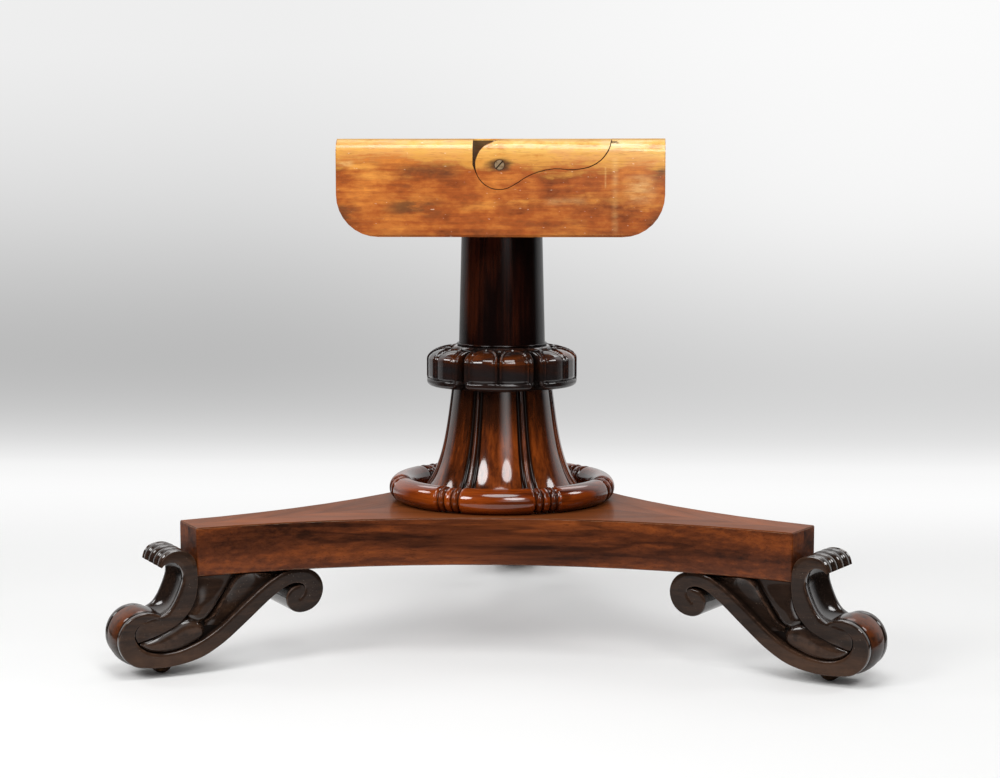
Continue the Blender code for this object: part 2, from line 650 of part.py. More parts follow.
def collar():
    bore = around(SPIGOT_RADIUS, FIT)
    inner = SHAFT_BEAD_RADIUS
    shoulder = arc((0, 0), 1, 0, 90, 4)
    profile = [(bore, COLLAR_TOP), (bore, COLLAR_BOTTOM)]
    corner = arc((COLLAR_RADIUS - COLLAR_CORNER, COLLAR_BOTTOM + COLLAR_CORNER), COLLAR_CORNER, -90, 0, 2)
    spread = COLLAR_RADIUS - inner
    profile += corner
    profile += [(inner + spread * x, COLLAR_TOP - COLLAR_SHOULDER * (1 - z)) for x, z in shoulder]
    bm = spun(profile, ring_steps(COLLAR_UNITS, COLLAR_MARKS))

    def change(radius, z, value):
        share = max((radius - inner) / (COLLAR_RADIUS - inner), 0)
        depth = COLLAR_GAP_DEPTH * value if value >= 0 else -COLLAR_PETAL_GROOVE * value
        return radius - depth * share, z

    carve(bm, COLLAR_UNITS, COLLAR_MARKS, change)
    return mesh_of(bm, "lappet_collar")


def bezier(a, b, c, d, count):
    points = []
    for i in range(count + 1):
        t = i / count
        shares = ((1 - t) ** 3, 3 * t * (1 - t) ** 2, 3 * t * t * (1 - t), t**3)
        points.append(tuple(sum(s * p[k] for s, p in zip(shares, (a, b, c, d))) for k in (0, 1)))
    return points


def stem():
    bore = around(SPIGOT_RADIUS, FIT)
    floor = STEM_TOP - SPIGOT_IN_STEM - FIT
    edge = STEM_BOTTOM + STEM_FOOT_EDGE
    tall = STEM_TOP - edge
    wide = STEM_FOOT_RADIUS - STEM_TOP_RADIUS
    bends = [(STEM_TOP_RADIUS + out * wide, edge + up * tall) for out, up in STEM_FLARE]
    flare = bezier((STEM_TOP_RADIUS, STEM_TOP), *bends, (STEM_FOOT_RADIUS, edge), STEM_FLARE_STEPS)
    tenon = PLATFORM_UNDERSIDE + FIT
    profile = [(0, floor), (bore, floor), (bore, STEM_TOP)] + flare + [(STEM_FOOT_RADIUS, STEM_BOTTOM)]
    profile += [(STEM_TENON_RADIUS, STEM_BOTTOM), (STEM_TENON_RADIUS, tenon), (0, tenon)]
    bm = spun(profile, ring_steps(STEM_PANELS, STEM_MARKS), closed=False)

    def change(radius, z, value):
        return (radius if radius < STEM_TOP_RADIUS - FIT else radius - value), z

    carve(bm, STEM_PANELS, STEM_MARKS, change)
    body = mesh_of(bm, "fluted_stem")
    return combined(body, [("DIFFERENCE", kerf(tenon - FIT, tenon + WEDGE_DEPTH, STEM_TENON_RADIUS))])


def bead_ring():
    height = PLATFORM_TOP + FIT + RING_TUBE
    tube = arc((RING_RADIUS, height), RING_TUBE, 90, 90 - 360 + 360 / RING_SIDES, RING_SIDES - 1)
    bm = spun(tube, ring_steps(RING_TIES, RING_MARKS))

    def change(radius, z, value):
        return RING_RADIUS + (radius - RING_RADIUS) * value, height + (z - height) * value

    carve(bm, RING_TIES, RING_MARKS, change)
    return mesh_of(bm, "bead_ring")


def side_outline(set_in):
    """The block seen from its end: square below, rounded along its upper edges."""
    half = BLOCK_DEPTH / 2 - set_in
    top = STAND_HEIGHT - set_in
    low = BLOCK_UNDERSIDE
    bend = BLOCK_UPPER_ROUND
    knots = corners([(-half, low + BLOCK_LOWER_ARRIS), (-half + BLOCK_LOWER_ARRIS, low)])
    knots += corners([(half - BLOCK_LOWER_ARRIS, low), (half, low + BLOCK_LOWER_ARRIS)])
    knots += corners(arc((half - bend, top - bend), bend, 0, 90, BLOCK_ROUND_STEPS))
    knots += corners(arc((-half + bend, top - bend), bend, 90, 180, BLOCK_ROUND_STEPS))
    ends = extruded(knots, BLOCK_LENGTH, "block_side")
    ends.transform(Matrix.Rotation(math.pi / 2, 4, "Z"))
    return ends


def arm_underside(grow):
    """Points under the arm from its knuckle to its tail, from the pivot, grown by a clearance."""
    knuckle = arc((0, 0), KNUCKLE_RADIUS + grow, 180, 360 + KNUCKLE_TO, 6)
    drop = [(x, z - grow) for x, z in (ARM_RISE, ARM_BELLY, ARM_DIP)]
    tail = [(ARM_TAIL[0] + grow, ARM_TAIL[1] - grow), (ARM_TAIL_TURN[0] + grow, ARM_TAIL_TURN[1] - grow)]
    return knuckle + drop + tail


def arm(side):
    """A tilt arm with its pivot at the origin. Side is -1 for the front one, 1 for the rear one."""
    top = PIVOT_DROP - ARM_TOP_SET
    knots = arm_underside(0) + corners([(ARM_LENGTH, top)]) + corners([(0, top)])
    knots += arc((0, 0), KNUCKLE_RADIUS, 100, 165, 2)
    body = extruded(knots, ARM_THICK / 2, "tilt_arm")
    outer = BLOCK_DEPTH / 2 - FIT
    body.transform(Matrix.Translation((0, side * (outer - ARM_THICK / 2), 0)))
    ends = side_outline(ARM_TOP_SET)
    ends.transform(Matrix.Translation((0, 0, -PIVOT_HEIGHT)))
    face = outer + FIT
    shank = around(PIVOT_SHANK_RADIUS, FIT, ROUND // 2)
    head = around(PIVOT_HEAD_RADIUS, FIT, ROUND // 2)
    bore = crosswise(shank, side, outer - ARM_THICK - FIT, face, "bore")
    seat = crosswise(head, side, outer - PIVOT_HEAD_THICK - FIT, face, "head_seat")
    return combined(body, [("INTERSECT", ends), ("DIFFERENCE", bore), ("DIFFERENCE", seat)])


def crosswise(radius, side, inner, outer, name):
    """A cylinder along Y through the origin, between two distances on one side."""
    rod = cylinder(radius, inner, outer, name, sides=ROUND // 2)
    rod.transform(Matrix.Rotation(-side * math.pi / 2, 4, "X"))
    return rod


def block():
    left, right = BLOCK_OFFSET - BLOCK_LENGTH / 2, BLOCK_OFFSET + BLOCK_LENGTH / 2
    top, low, big = STAND_HEIGHT, BLOCK_UNDERSIDE, BLOCK_LOWER_ROUND
    knots = corners([(right, top), (left, top)])
    knots += corners(arc((left + big, low + big), big, 180, 270, 8))
    knots += corners(arc((right - big, low + big), big, 270, 360, 8))
    body = extruded(knots, BLOCK_DEPTH, "bearer_block")
    steps = [("INTERSECT", side_outline(0))]
    tenon = cylinder(around(TENON_RADIUS, FIT), 0, STAND_HEIGHT + FIT * 2, "tenon_hole")
    steps.append(("DIFFERENCE", tenon))
    for side in (-1, 1):
        wall = PIVOT_DROP + ARM_CLEAR
        over = PIVOT_DROP + FIT * 2
        knots = arm_underside(ARM_CLEAR)[1:]
        tip = ARM_LENGTH + ARM_CLEAR
        knots += corners([(tip, PIVOT_DROP - ARM_CLEAR), (tip, over)])
        knots += corners([(-wall, over), (-wall, 0)])
        recess = extruded(knots, ARM_THICK / 2 + FIT + RUN, "arm_recess")
        middle = side * (BLOCK_DEPTH / 2 + FIT - ARM_THICK / 2)
        recess.transform(Matrix.Translation((PIVOT_X, middle, PIVOT_HEIGHT)))
        inner = BLOCK_DEPTH / 2 - PIVOT_HEAD_THICK - PIVOT_SHANK_LENGTH - 3 * FIT
        shank = around(PIVOT_SHANK_RADIUS, FIT, ROUND // 2)
        pilot = crosswise(shank, side, inner, BLOCK_DEPTH / 2, "pilot")
        pilot.transform(Matrix.Translation((PIVOT_X, 0, PIVOT_HEIGHT)))
        notch = finger_notch(side)
        steps += [("DIFFERENCE", recess), ("DIFFERENCE", pilot), ("DIFFERENCE", notch)]
    return combined(body, steps)


def finger_notch(side):
    """A hollow past the arm's tail, where a finger lifts it. It opens upwards and to the front."""
    start = PIVOT_X + ARM_LENGTH - ARM_CLEAR
    end = PIVOT_X + ARM_LENGTH + NOTCH_LENGTH
    low, over = STAND_HEIGHT - NOTCH_DROP, STAND_HEIGHT + NOTCH_DROP
    knots = corners([(start, over), (start, low)])
    knots += corners(arc((end - NOTCH_DROP, STAND_HEIGHT), NOTCH_DROP, 270, 360, 3))
    knots += corners([(end, over)])
    hollow = extruded(knots, NOTCH_DEPTH, "finger_notch")
    hollow.transform(Matrix.Translation((0, side * BLOCK_DEPTH / 2, 0)))
    return hollow


def pivot_screw(side):
    """A slotted screw through a tilt arm, with the pivot at the origin."""
    face = BLOCK_DEPTH / 2 - 2 * FIT
    shank = (PIVOT_SHANK_RADIUS, PIVOT_SHANK_LENGTH)
    screw = headed(*shank, PIVOT_HEAD_RADIUS, PIVOT_HEAD_THICK, "pivot_screw")
    reach = 2 * PIVOT_HEAD_RADIUS
    slot = box(
        (-reach, -SLOT_WIDTH / 2, -PIVOT_HEAD_THICK - FIT),
        (reach, SLOT_WIDTH / 2, -PIVOT_HEAD_THICK + SLOT_DEPTH),
        "slot",
    )
    slot.transform(Matrix.Rotation(math.radians(SLOT_TURN), 4, "Z"))
    made = combined(screw, [("DIFFERENCE", slot)])
    made.transform(Matrix.Translation((0, 0, PIVOT_HEAD_THICK - face)))
    made.transform(Matrix.Rotation(side * math.pi / 2, 4, "X"))
    return made


def build():
    place("platform", platform(), ROSEWOOD)
    place("fluted_stem", stem(), ROSEWOOD)
    place("bead_ring", bead_ring(), ROSEWOOD)
    place("lappet_collar", collar(), DARK_ROSEWOOD)
    place("column_shaft", shaft(), DARK_ROSEWOOD)
    place("bearer_block", block(), PINE)
    tenon = STAND_HEIGHT - FIT
    place("shaft_wedge", wedge(tenon - WEDGE_DEPTH + FIT, tenon, TENON_RADIUS, "wedge", "low"), BEECH)
    end = PLATFORM_UNDERSIDE + FIT
    place("stem_wedge", wedge(end, end + WEDGE_DEPTH - FIT, STEM_TENON_RADIUS, "wedge", "high"), BEECH)
    pivot = (PIVOT_X, 0, PIVOT_HEIGHT)
    for name, side in (("front", -1), ("rear", 1)):
        place(f"{name}_tilt_arm", arm(side), PINE, pivot)
        place(f"{name}_pivot_screw", pivot_screw(side), STEEL, pivot)
    scroll_foot = foot()
    inner, outer = ARM_REACH - DOWEL_IN_PLATFORM, FOOT_BACK + DOWEL_IN_FOOT
    dowel = lying(DOWEL_RADIUS, inner, outer, FOOT_TOP + DOWEL_RISE, "dowel")
    length = FOOT_SCREW_IN_FOOT + FOOT_SCREW_IN_PLATFORM
    screw = headed(FOOT_SCREW_RADIUS, length, FOOT_SCREW_HEAD, FOOT_SCREW_HEAD_THICK, "foot_screw")
    plate, horn, wheel = castor_plate(), castor_horn(), castor_wheel()
    pin = cylinder(AXLE_RADIUS, -HORN_OUTER, HORN_OUTER, "castor_axle", sides=ROUND // 2)
    pin.transform(Matrix.Rotation(math.pi / 2, 4, "X"))
    small = headed(
        CASTOR_SCREW_RADIUS,
        CASTOR_SCREW_LENGTH,
        CASTOR_SCREW_HEAD,
        CASTOR_SCREW_HEAD_THICK,
        "castor_screw",
        ROUND // 4,
    )
    for name, turn in FEET.items():
        spin = Matrix.Rotation(math.radians(turn), 4, "Z")
        place(f"foot_{name}", scroll_foot, ROSEWOOD, turn=turn)
        place(f"foot_dowel_{name}", dowel, BEECH, turn=turn)
        at = spin @ Vector((FOOT_BACK - FOOT_SCREW_IN, 0, FOOT_TOP - FOOT_SCREW_IN_FOOT - FIT))
        place(f"foot_screw_{name}", screw, STEEL, at, turn)
        swivel = spin @ Vector((CASTOR_AT, 0, 0))
        place(f"castor_plate_{name}", plate, BRASS, swivel, turn)
        place(f"castor_horn_{name}", horn, BRASS, swivel, turn)
        hub = spin @ Vector((CASTOR_AT + CASTOR_TRAIL, 0, WHEEL_RADIUS))
        place(f"castor_axle_{name}", pin, STEEL, hub, turn)
        place(f"castor_wheel_{name}", wheel, BRASS, hub, turn)
        for mark, y in (("a", -CASTOR_SCREW_AT), ("b", CASTOR_SCREW_AT)):
            at = spin @ Vector((CASTOR_AT, y, PLATE_UNDERSIDE - FIT))
            place(f"castor_screw_{name}_{mark}", small, STEEL, at, turn)


build()
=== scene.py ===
import math

import bmesh
import bpy
import numpy as np
from mathutils import Matrix, Vector


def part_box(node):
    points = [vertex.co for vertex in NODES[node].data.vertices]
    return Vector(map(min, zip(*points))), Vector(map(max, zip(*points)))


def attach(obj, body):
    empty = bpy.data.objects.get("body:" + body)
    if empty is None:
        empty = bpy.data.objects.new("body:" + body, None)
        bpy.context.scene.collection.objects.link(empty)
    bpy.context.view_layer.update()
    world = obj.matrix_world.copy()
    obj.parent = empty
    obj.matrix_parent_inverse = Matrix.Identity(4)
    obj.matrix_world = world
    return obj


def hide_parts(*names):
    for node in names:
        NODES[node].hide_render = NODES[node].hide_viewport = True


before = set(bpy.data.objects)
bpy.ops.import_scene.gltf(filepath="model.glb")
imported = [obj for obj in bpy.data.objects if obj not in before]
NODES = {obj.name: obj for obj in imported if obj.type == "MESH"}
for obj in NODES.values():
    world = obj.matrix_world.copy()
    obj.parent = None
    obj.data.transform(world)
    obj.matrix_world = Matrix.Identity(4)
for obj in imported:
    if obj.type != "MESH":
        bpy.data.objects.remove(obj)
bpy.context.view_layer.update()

# Places taken from the frame
SHAFT_LOW, SHAFT_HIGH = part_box("column_shaft")
AXIS = Vector(((SHAFT_LOW.x + SHAFT_HIGH.x) / 2, (SHAFT_LOW.y + SHAFT_HIGH.y) / 2, 0))
PLATFORM_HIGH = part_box("platform")[1]
BLOCK_LOW, BLOCK_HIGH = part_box("bearer_block")
SCREW_LOW, SCREW_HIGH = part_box("front_pivot_screw")
RING_LOW, RING_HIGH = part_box("bead_ring")
COLLAR_LOW, COLLAR_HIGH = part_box("lappet_collar")
STEM_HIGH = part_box("fluted_stem")[1]
FEET = {"left": 210, "right": -30, "rear": 90}
THIRD = math.tau / 3
WELD = 0.000002


def edges(*rows):
    """Pairs of a lower and an upper (reach, height), from rows of millimetres."""
    return [((a / 1000, b / 1000), (c / 1000, d / 1000)) for a, b, c, d in rows]


# Scroll foot
FOOT_HALF = 0.0400
FOOT_BACK = 0.4588
TOE_RUN = 0.1037
TOE_NARROWING = 0.225
WAIST_HEIGHT = 0.1297
TOE_HEIGHT = 0.0510
EDGE_ROUND = 0.0016
FACE_STEPS = 30
TOE_CENTRE = (0.5265, 0.0510)
TOE_RADIUS = 0.0360
BAND = edges(
    (319.5, 88, 318.5, 105), (319.5, 88, 329, 102.6), (319.5, 88, 336.2, 95.8),
    (319.5, 88, 338.6, 86.6), (319.5, 88, 335.6, 77.3), (319.5, 88, 328.2, 70.8),
    (319.5, 88, 317.8, 68.4), (319.5, 88, 305.2, 70.8), (319.5, 88, 294.4, 78.3),
    (318.5, 89.2, 288, 89.5), (315.5, 92.5, 286.8, 102), (312.8, 97.8, 291.3, 114),
    (313, 103.4, 300.5, 122.6), (317.8, 107.2, 313, 126.4), (325.6, 108.5, 327.5, 126.6),
    (335.2, 106.6, 342.6, 123.5), (345, 101.6, 356.8, 116.5), (355, 95, 371, 107.2),
    (365.5, 87.2, 385.5, 96.2), (379.5, 75.6, 401, 83.8), (393, 64.5, 414.5, 72.4),
    (406, 54, 427.2, 62.2), (419, 43.9, 439.8, 53.6), (433.5, 34.3, 453.5, 46),
    (449.5, 25.7, 469, 39.4), (466.8, 19.7, 484, 34.6), (485, 15.8, 498, 32.5),
    (505, 14.1, 509, 32.3),
)
BAND_TOE = [
    (-92, (0.5185, 0.0340)),
    (-66, (0.5270, 0.0376)),
    (-39, (0.5340, 0.0427)),
    (-12, (0.5392, 0.0497)),
    (14, (0.5418, 0.0575)),
    (40, (0.5404, 0.0655)),
    (66, (0.5350, 0.0715)),
    (92, (0.5265, 0.0735)),
    (115, (0.5190, 0.0720)),
    (134, (0.5130, 0.0690)),
]
LEAF_STEM = edges(
    (508.8, 145.2, 506.6, 144.2), (508, 150.2, 503.4, 147), (505.2, 156.2, 499.8, 149),
    (499.4, 161.7, 496, 150), (490.5, 164.5, 491.5, 149.9), (480, 164.5, 487, 148),
    (470.8, 161.2, 483, 143.7), (464.2, 154.5, 480, 138.5), (460.4, 144.5, 478.5, 132.5),
    (459.4, 134, 478.5, 126), (459.4, 120.5, 480.5, 118.5), (461.2, 107, 484.5, 108.5),
    (465.7, 93.2, 490.5, 96.6), (473.5, 81.5, 498.5, 86.5), (483.5, 72, 508.5, 80.8),
    (495, 65, 520.2, 78.8), (506.5, 59.5, 531.8, 74.8), (516.5, 55.5, 539.3, 66.4),
    (524.5, 52.5, 540.2, 57), (531, 50.5, 537.2, 49.2),
)
WEB = edges(
    (335, 115, 335, 126.8), (357, 106, 365, 127.2), (375, 91.5, 390, 127.2),
    (400, 71, 415, 127.2), (425, 51, 440, 127.2), (450, 36, 464, 125),
    (475, 27, 469, 105), (500, 23, 485, 85), (520, 24, 510, 68),
    (533, 33, 530, 60),
)
BLADE = edges(
    (347.8, 118.8, 352, 122.5), (356, 115, 366, 124.6), (368, 107.5, 382, 126.2),
    (380, 98.5, 395.5, 125.4), (391.5, 89.5, 406.6, 119.2), (402.5, 80.5, 415.4, 107.5),
    (414, 70.5, 424, 95.7), (425, 62, 431.8, 84.9), (436, 54.5, 439.8, 74.8),
    (446, 49.5, 449.6, 69),
)
TEARDROP = edges(
    (408, 127.4, 461, 127.4), (413, 118.5, 461.2, 119), (419, 108.5, 462.2, 109.2),
    (426.5, 97.5, 464.5, 99.5), (433.5, 87.5, 468.2, 90.5), (441.2, 77.2, 472.2, 82.8),
    (450, 70.2, 471.5, 76.2), (457, 67.6, 465, 70.6),
)
POD = edges(
    (448.5, 57, 454, 67.2), (454.5, 47.5, 466, 74.5), (467, 40, 479.5, 74.5),
    (481.5, 34.5, 493, 66.5), (496.5, 31.8, 505, 60.5), (510.5, 32, 515, 55.5),
    (522.5, 35.2, 524, 52), (530.8, 40.5, 530, 50), (534, 44, 533.5, 48),
)
EYE = edges(
    (311.5, 96, 311.7, 98.5), (313.5, 92, 313.5, 102.6), (316, 89, 316, 104.6),
    (319, 88, 319, 104.8), (322, 89, 322, 104),
)
EYE_DEPTH = 0.0004
RIDGE_DEPTH = 0.0012
RIDGE_BACK = 0.0016
RIDGE_FALL = 0.07
RIDGE_SINK = 0.004
RIDGE_PAINTED_HIGHLIGHT = 1.6
BED = 0.001
TEARDROP_RISE = (0.0030, 0.0055, 0.0050)
POD_RISE = (0.0080, 0.0030)
STEM_INSET = 0.00025
POST_SIDES = 48
FIELD_DEPTH = 0.0105
TONGUE_PROUD = 0.0002
TONGUE_SUNK = 0.0024
LEAF_REEDS = 4
REED_DEPTH = 0.0040
FLUTE_DEPTH = 0.0100
FLUTE_EDGE = 0.83
LOBE_RISE = 0.0042
LOBE_EDGE = 0.74
LOBE_GROOVE = 0.0016
SOCKET_AT = 0.4918
SOCKET_RADIUS = 0.0246
SOCKET_TOP = 0.0412
SCREW_HOLE_AT = 0.3988
SCREW_HOLE_RADIUS = 0.0076
SCREW_HOLE_TOP = 0.0874

# Collar, stem, ring and shaft
FIT = 0.0003
COLLAR_UNITS = 6
COLLAR_STEPS = 108
COLLAR_BORE = 0.0410
COLLAR_CORNER = 0.0085
COLLAR_SHOULDER = 0.0185
COLLAR_CROWN = 0.0634
GAP_HALF = 2.3
GAP_DEPTH = 0.021
GAP_FLARE = 6.5
GAP_FLARE_FROM = 0.73
GAP_FLARE_TO = 0.93
FRAME_INNER = 23.8
LAPPET_FROM = 1.3
LAPPET_TO = 23.2
ARCH_TOP = 0.121
ARCH_RUN = 0.305
LAPPET_END = 0.818
LAPPET_SUNK = 0.0016
LAPPET_DIP = 0.0012
LAPPET_SWELL = 0.0008
GROUND_DEPTH = 0.0036
CREASE_DEPTH = 0.0034
SIDE_BEAD = (0.0004, 0.0012)
FOOT_BEAD = (0.0003, 0.0010)
LINE_DEPTH = 0.0016
STEM_PANELS = 7
STEM_STEPS = 60
STEM_TOP_RADIUS = 0.0705
STEM_FOOT_RADIUS = 0.1170
STEM_EDGE = 0.007
REED_HALF = 1.45
GROOVE_EDGE = 7.3
GROOVE_DEPTH = 0.0048
PANEL_DISH = 0.0014
REED_DROP = (0.0012, 0.0016)
STEM_FINE = 9.0
RING_TIES = 7
RING_STEPS = 84
RING_SIDES = 36
RING_FINE = 9.6
# Degrees from the middle of a tie, and the ring's size there
RING_TIE = [
    (0, 0.95), (1.2, 0.92), (1.7, 0.80), (2.0, 0.74), (2.4, 0.82), (3.0, 0.95), (3.8, 1.0),
    (4.6, 0.96), (5.2, 0.84), (5.7, 0.73), (6.1, 0.75), (6.6, 0.90), (7.4, 0.98), (9.2, 1.0), (30, 1.0),
]
TIE_GROOVES = (2.0, 5.8)
SHAFT_TOP_RADIUS = 0.0561
SHAFT_FOOT_RADIUS = 0.0598
SHAFT_BEAD_RADIUS = 0.0630
SHAFT_BEAD = 0.0036
SHAFT_STEPS = 40
SHAFT_SIDES = 96
SPIGOT_RADIUS = 0.040
TENON_RADIUS = 0.030
KERF_HALF = 0.0022
KERF_DEPTH = 0.030
UPPER_ROUND = 0.020

# Eased copies of flat CAD nodes
FLAT_ANGLE = math.radians(0.5)
SHARP_ANGLE = math.radians(30)
UPRIGHT_RISE = 0.03
EASED_PLATFORM = 0.0006
PLATFORM_CORNER = 0.0022
EASED_BLOCK = 0.0008
EASED_ARM = 0.0006

# Camera read back from the photograph's perspective
CAMERA_FROM_AXIS = (0.1272, -2.7384, 0.6329)
CAMERA_PITCH = 5.984
CAMERA_YAW = 2.717
CAMERA_LENS = 71.14

# Studio: lamps are (name, degrees round from the front, degrees up, distance, size, watts)
LAMPS = [
    ("lamp_left", -42, 29, 2.7, 1.0, 29),
    ("lamp_front", 16, 30, 2.9, 1.0, 23),
    ("lamp_above", 0, 60, 2.4, 1.2, 21),
    ("lamp_far_right", 92, 32, 2.5, 0.60, 8),
    ("lamp_far_left", -95, 32, 2.5, 0.60, 7),
    ("lamp_rear_right", 150, 45, 2.6, 0.90, 5),
    ("lamp_rear_left", -150, 45, 2.6, 0.90, 5),
]
WORLD_FILL = 0.22
FLOOR_GLOW = 0.40
FLAG_RADIUS = 3.4
FLAG_HALF = 128
FLAG_FADE = 28
FLAG_LIFT = 0.005
FLAG_FLOOR_FROM = 0.80
CARD_GLOW = 2.2
# The card's edges, each from clear to full: turns from the front, and heights
CARD_LEFT = (-0.10, 0.30)
CARD_RIGHT = (0.32, 0.60)
CARD_LOW = (0.45, 0.95)
CARD_HIGH = (1.10, 2.00)
LAMP_AIM = 0.33
SKY = (0.95, 0.97, 1.0, 1)
SWEEP_FRONT = -7.0
SWEEP_BACK = 1.9
SWEEP_BEND = 0.9
SWEEP_TOP = 5.0
SWEEP_HALF = 6.0
TOE_SHADE = (0.02, 0.12)
BACKDROP_RUN = 6.0
# The backdrop's tone on the left and right, by how far back and up the paper it is: painted shade,
# darkest in the paper's bend and on the left
BACKDROP = [
    (0.9, 0.97, 0.98),
    (1.3, 0.95, 0.96),
    (1.6, 0.86, 0.89),
    (2.1, 0.64, 0.72),
    (2.6, 0.50, 0.68),
    (3.2, 0.66, 0.88),
    (3.8, 0.85, 0.96),
]


def along(knots, per_stretch):
    """Points on a smooth curve through the knots, and each point's share of the knots passed."""
    k = np.array(knots, float)
    k = np.vstack([2 * k[:1] - k[1:2], k, 2 * k[-1:] - k[-2:-1]])
    t = np.arange(per_stretch)[:, None] / per_stretch
    points = []
    for a, b, c, d in zip(k, k[1:], k[2:], k[3:]):
        m, n = (c - a) / 2, (d - b) / 2
        points.append(b + m * t + (3 * (c - b) - 2 * m - n) * t**2 + (2 * (b - c) + m + n) * t**3)
    points = np.vstack(points + [k[-2:-1]])
    return points, np.arange(len(points)) / per_stretch


def mark_layers(bm):
    """Two values on each vertex: how hollow and how rubbed the wood is there. Hollow places are painted
    dark, as dirt and painted shade.
    """
    for name in ("hollow", "rub"):
        bm.verts.layers.float.new(name)
    return bm.verts.layers.float["hollow"], bm.verts.layers.float["rub"]


def skin(rows, marks):
    """A body through rows of points, each row a closed loop: a grid bent round and capped. Marks
    give how hollow and how rubbed each point is."""
    count, around = len(rows), len(rows[0])
    bm = bmesh.new()
    hollow, rub = mark_layers(bm)
    bmesh.ops.create_grid(bm, x_segments=count - 1, y_segments=around, size=0.5)
    for vert in bm.verts:
        i = round((vert.co.x + 0.5) * (count - 1))
        j = round((vert.co.y + 0.5) * around) % around
        vert.co = rows[i][j]
        vert[hollow], vert[rub] = marks[i][j]
    bmesh.ops.remove_doubles(bm, verts=bm.verts, dist=WELD)
    bmesh.ops.holes_fill(bm, edges=[e for e in bm.edges if e.is_boundary], sides=0)
    bmesh.ops.recalc_face_normals(bm, faces=bm.faces)
    return bm


def to_mesh(bm, name):
    mesh = bpy.data.meshes.new(name)
    bm.to_mesh(mesh)
    bm.free()
    return mesh


def linked(name, data):
    """A new object in the scene."""
    thing = bpy.data.objects.new(name, data)
    bpy.context.scene.collection.objects.link(thing)
    return thing


def smoothed(mesh, angle):
    mesh.shade_smooth()
    mesh.set_sharp_from_angle(angle=math.radians(angle))
    return mesh


def piece(name, mesh, body, finish, slot, *nodes, flat=False):
    """A finished piece that rides on a body and stands for CAD nodes. A flat piece's shading follows
    its large faces."""
    thing = linked(name, mesh)
    if flat:
        weights = thing.modifiers.new("large_faces", "WEIGHTED_NORMAL")
        weights.mode = "FACE_AREA"
        weights.weight = 100
        weights.keep_sharp = True
    mesh.materials.clear()
    mesh.materials.append(finish)
    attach(thing, body)
    if nodes:
        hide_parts(*nodes)
    return thing


def cut(mesh, cutters):
    """The mesh with each cutter's shape bored out of it."""
    blank = linked("blank", mesh)
    tools = []
    for cutter in cutters:
        tool = linked("bit", cutter)
        change = blank.modifiers.new("bore", "BOOLEAN")
        change.operation = "DIFFERENCE"
        change.solver = "EXACT"
        change.object = tool
        tools.append(tool)
    graph = bpy.context.evaluated_depsgraph_get()
    made = bpy.data.meshes.new_from_object(blank.evaluated_get(graph))
    for thing in [blank] + tools:
        bpy.data.objects.remove(thing)
    return made


def post(radius, low, high, at):
    bm = bmesh.new()
    bmesh.ops.create_cone(
        bm, cap_ends=True, segments=POST_SIDES, radius1=radius, radius2=radius, depth=high - low
    )
    bmesh.ops.translate(bm, vec=(*at, (low + high) / 2), verts=bm.verts)
    return to_mesh(bm, "post")


def ease(low, high, value):
    """0 below low, 1 above high, and a soft rise between them."""
    t = np.clip((value - low) / (high - low), 0, 1)
    return t * t * (3 - 2 * t)


def half_width(reach, height):
    """Half the foot's thickness at a place on its side."""
    out = min(max((reach - FOOT_BACK) / TOE_RUN, 0), 1)
    down = min(max((WAIST_HEIGHT - height) / (WAIST_HEIGHT - TOE_HEIGHT), 0), 1)
    return FOOT_HALF * (1 - TOE_NARROWING * out * down)


def edge_lines(pairs, per_stretch):
    lower, share = along([pair[0] for pair in pairs], per_stretch)
    upper, _ = along([pair[1] for pair in pairs], per_stretch)
    return lower, upper, share


def strip(pairs, per_stretch, lower_rim, upper_rim, sunk, crisp):
    """A bar between a lower and an upper edge line, across the whole foot. At a share of the half
    width each rim gives how far the bar stands out and how hollow it is. Its sides lie sunk below the
    foot's side faces, and its edges are less rounded where it is crisp."""
    lower, upper, share = edge_lines(pairs, per_stretch)
    span = np.linspace(-1, 1, FACE_STEPS + 1)
    rows, marks = [], []
    for a, b, u in zip(lower, upper, share):
        width = max(np.linalg.norm(b - a), WELD)
        way = (b - a) / width
        plump = 1 - 0.85 * crisp(u)
        soft = min(EDGE_ROUND * plump, width / 3)
        loop, loop_marks = [], []

        def put(distance, f, inset, hollow=0.0, rub=0.0):
            spot = a + way * distance
            half = half_width(*spot) - sunk(u)
            loop.append((spot[0], f * (half - inset), spot[1]))
            loop_marks.append((hollow, rub))

        for f in span:
            rise, hollow = lower_rim(u, f)
            put(-rise, f, soft, hollow, plump * (abs(f) == 1))
        put(0.3 * soft, 1, 0.3 * soft, 0, plump)
        for s in np.linspace(soft, width - soft, 5):
            put(s, 1, 0)
        put(width - 0.3 * soft, 1, 0.3 * soft, 0, plump)
        for f in span[::-1]:
            rise, hollow = upper_rim(u, f)
            put(width + rise, f, soft, hollow, plump * (abs(f) == 1))
        put(width - 0.3 * soft, -1, 0.3 * soft, 0, plump)
        for s in np.linspace(width - soft, soft, 5):
            put(s, -1, 0)
        put(0.3 * soft, -1, 0.3 * soft, 0, plump)
        rows.append(loop)
        marks.append(loop_marks)
    return skin(rows, marks)


def carving(pairs, per_stretch, stations, form):
    """A carved form that shows on both sides of the foot. At a station across it and a share along
    it, the form gives its depth below the side face, and how hollow and how rubbed it is."""
    lower, upper, share = edge_lines(pairs, per_stretch)
    rows, marks = [], []
    for a, b, u in zip(lower, upper, share / share[-1]):
        near, near_marks = [], []
        for s in stations:
            p = a + (b - a) * s
            depth, hollow, rub = form(s, u)
            near.append((p[0], half_width(*p) - depth, p[1]))
            near_marks.append((hollow, rub))
        rows.append(near + [(x, -y, z) for x, y, z in reversed(near)])
        marks.append(near_marks + near_marks[::-1])
    return skin(rows, marks)


def plain(u, f):
    return 0.0, 0.0


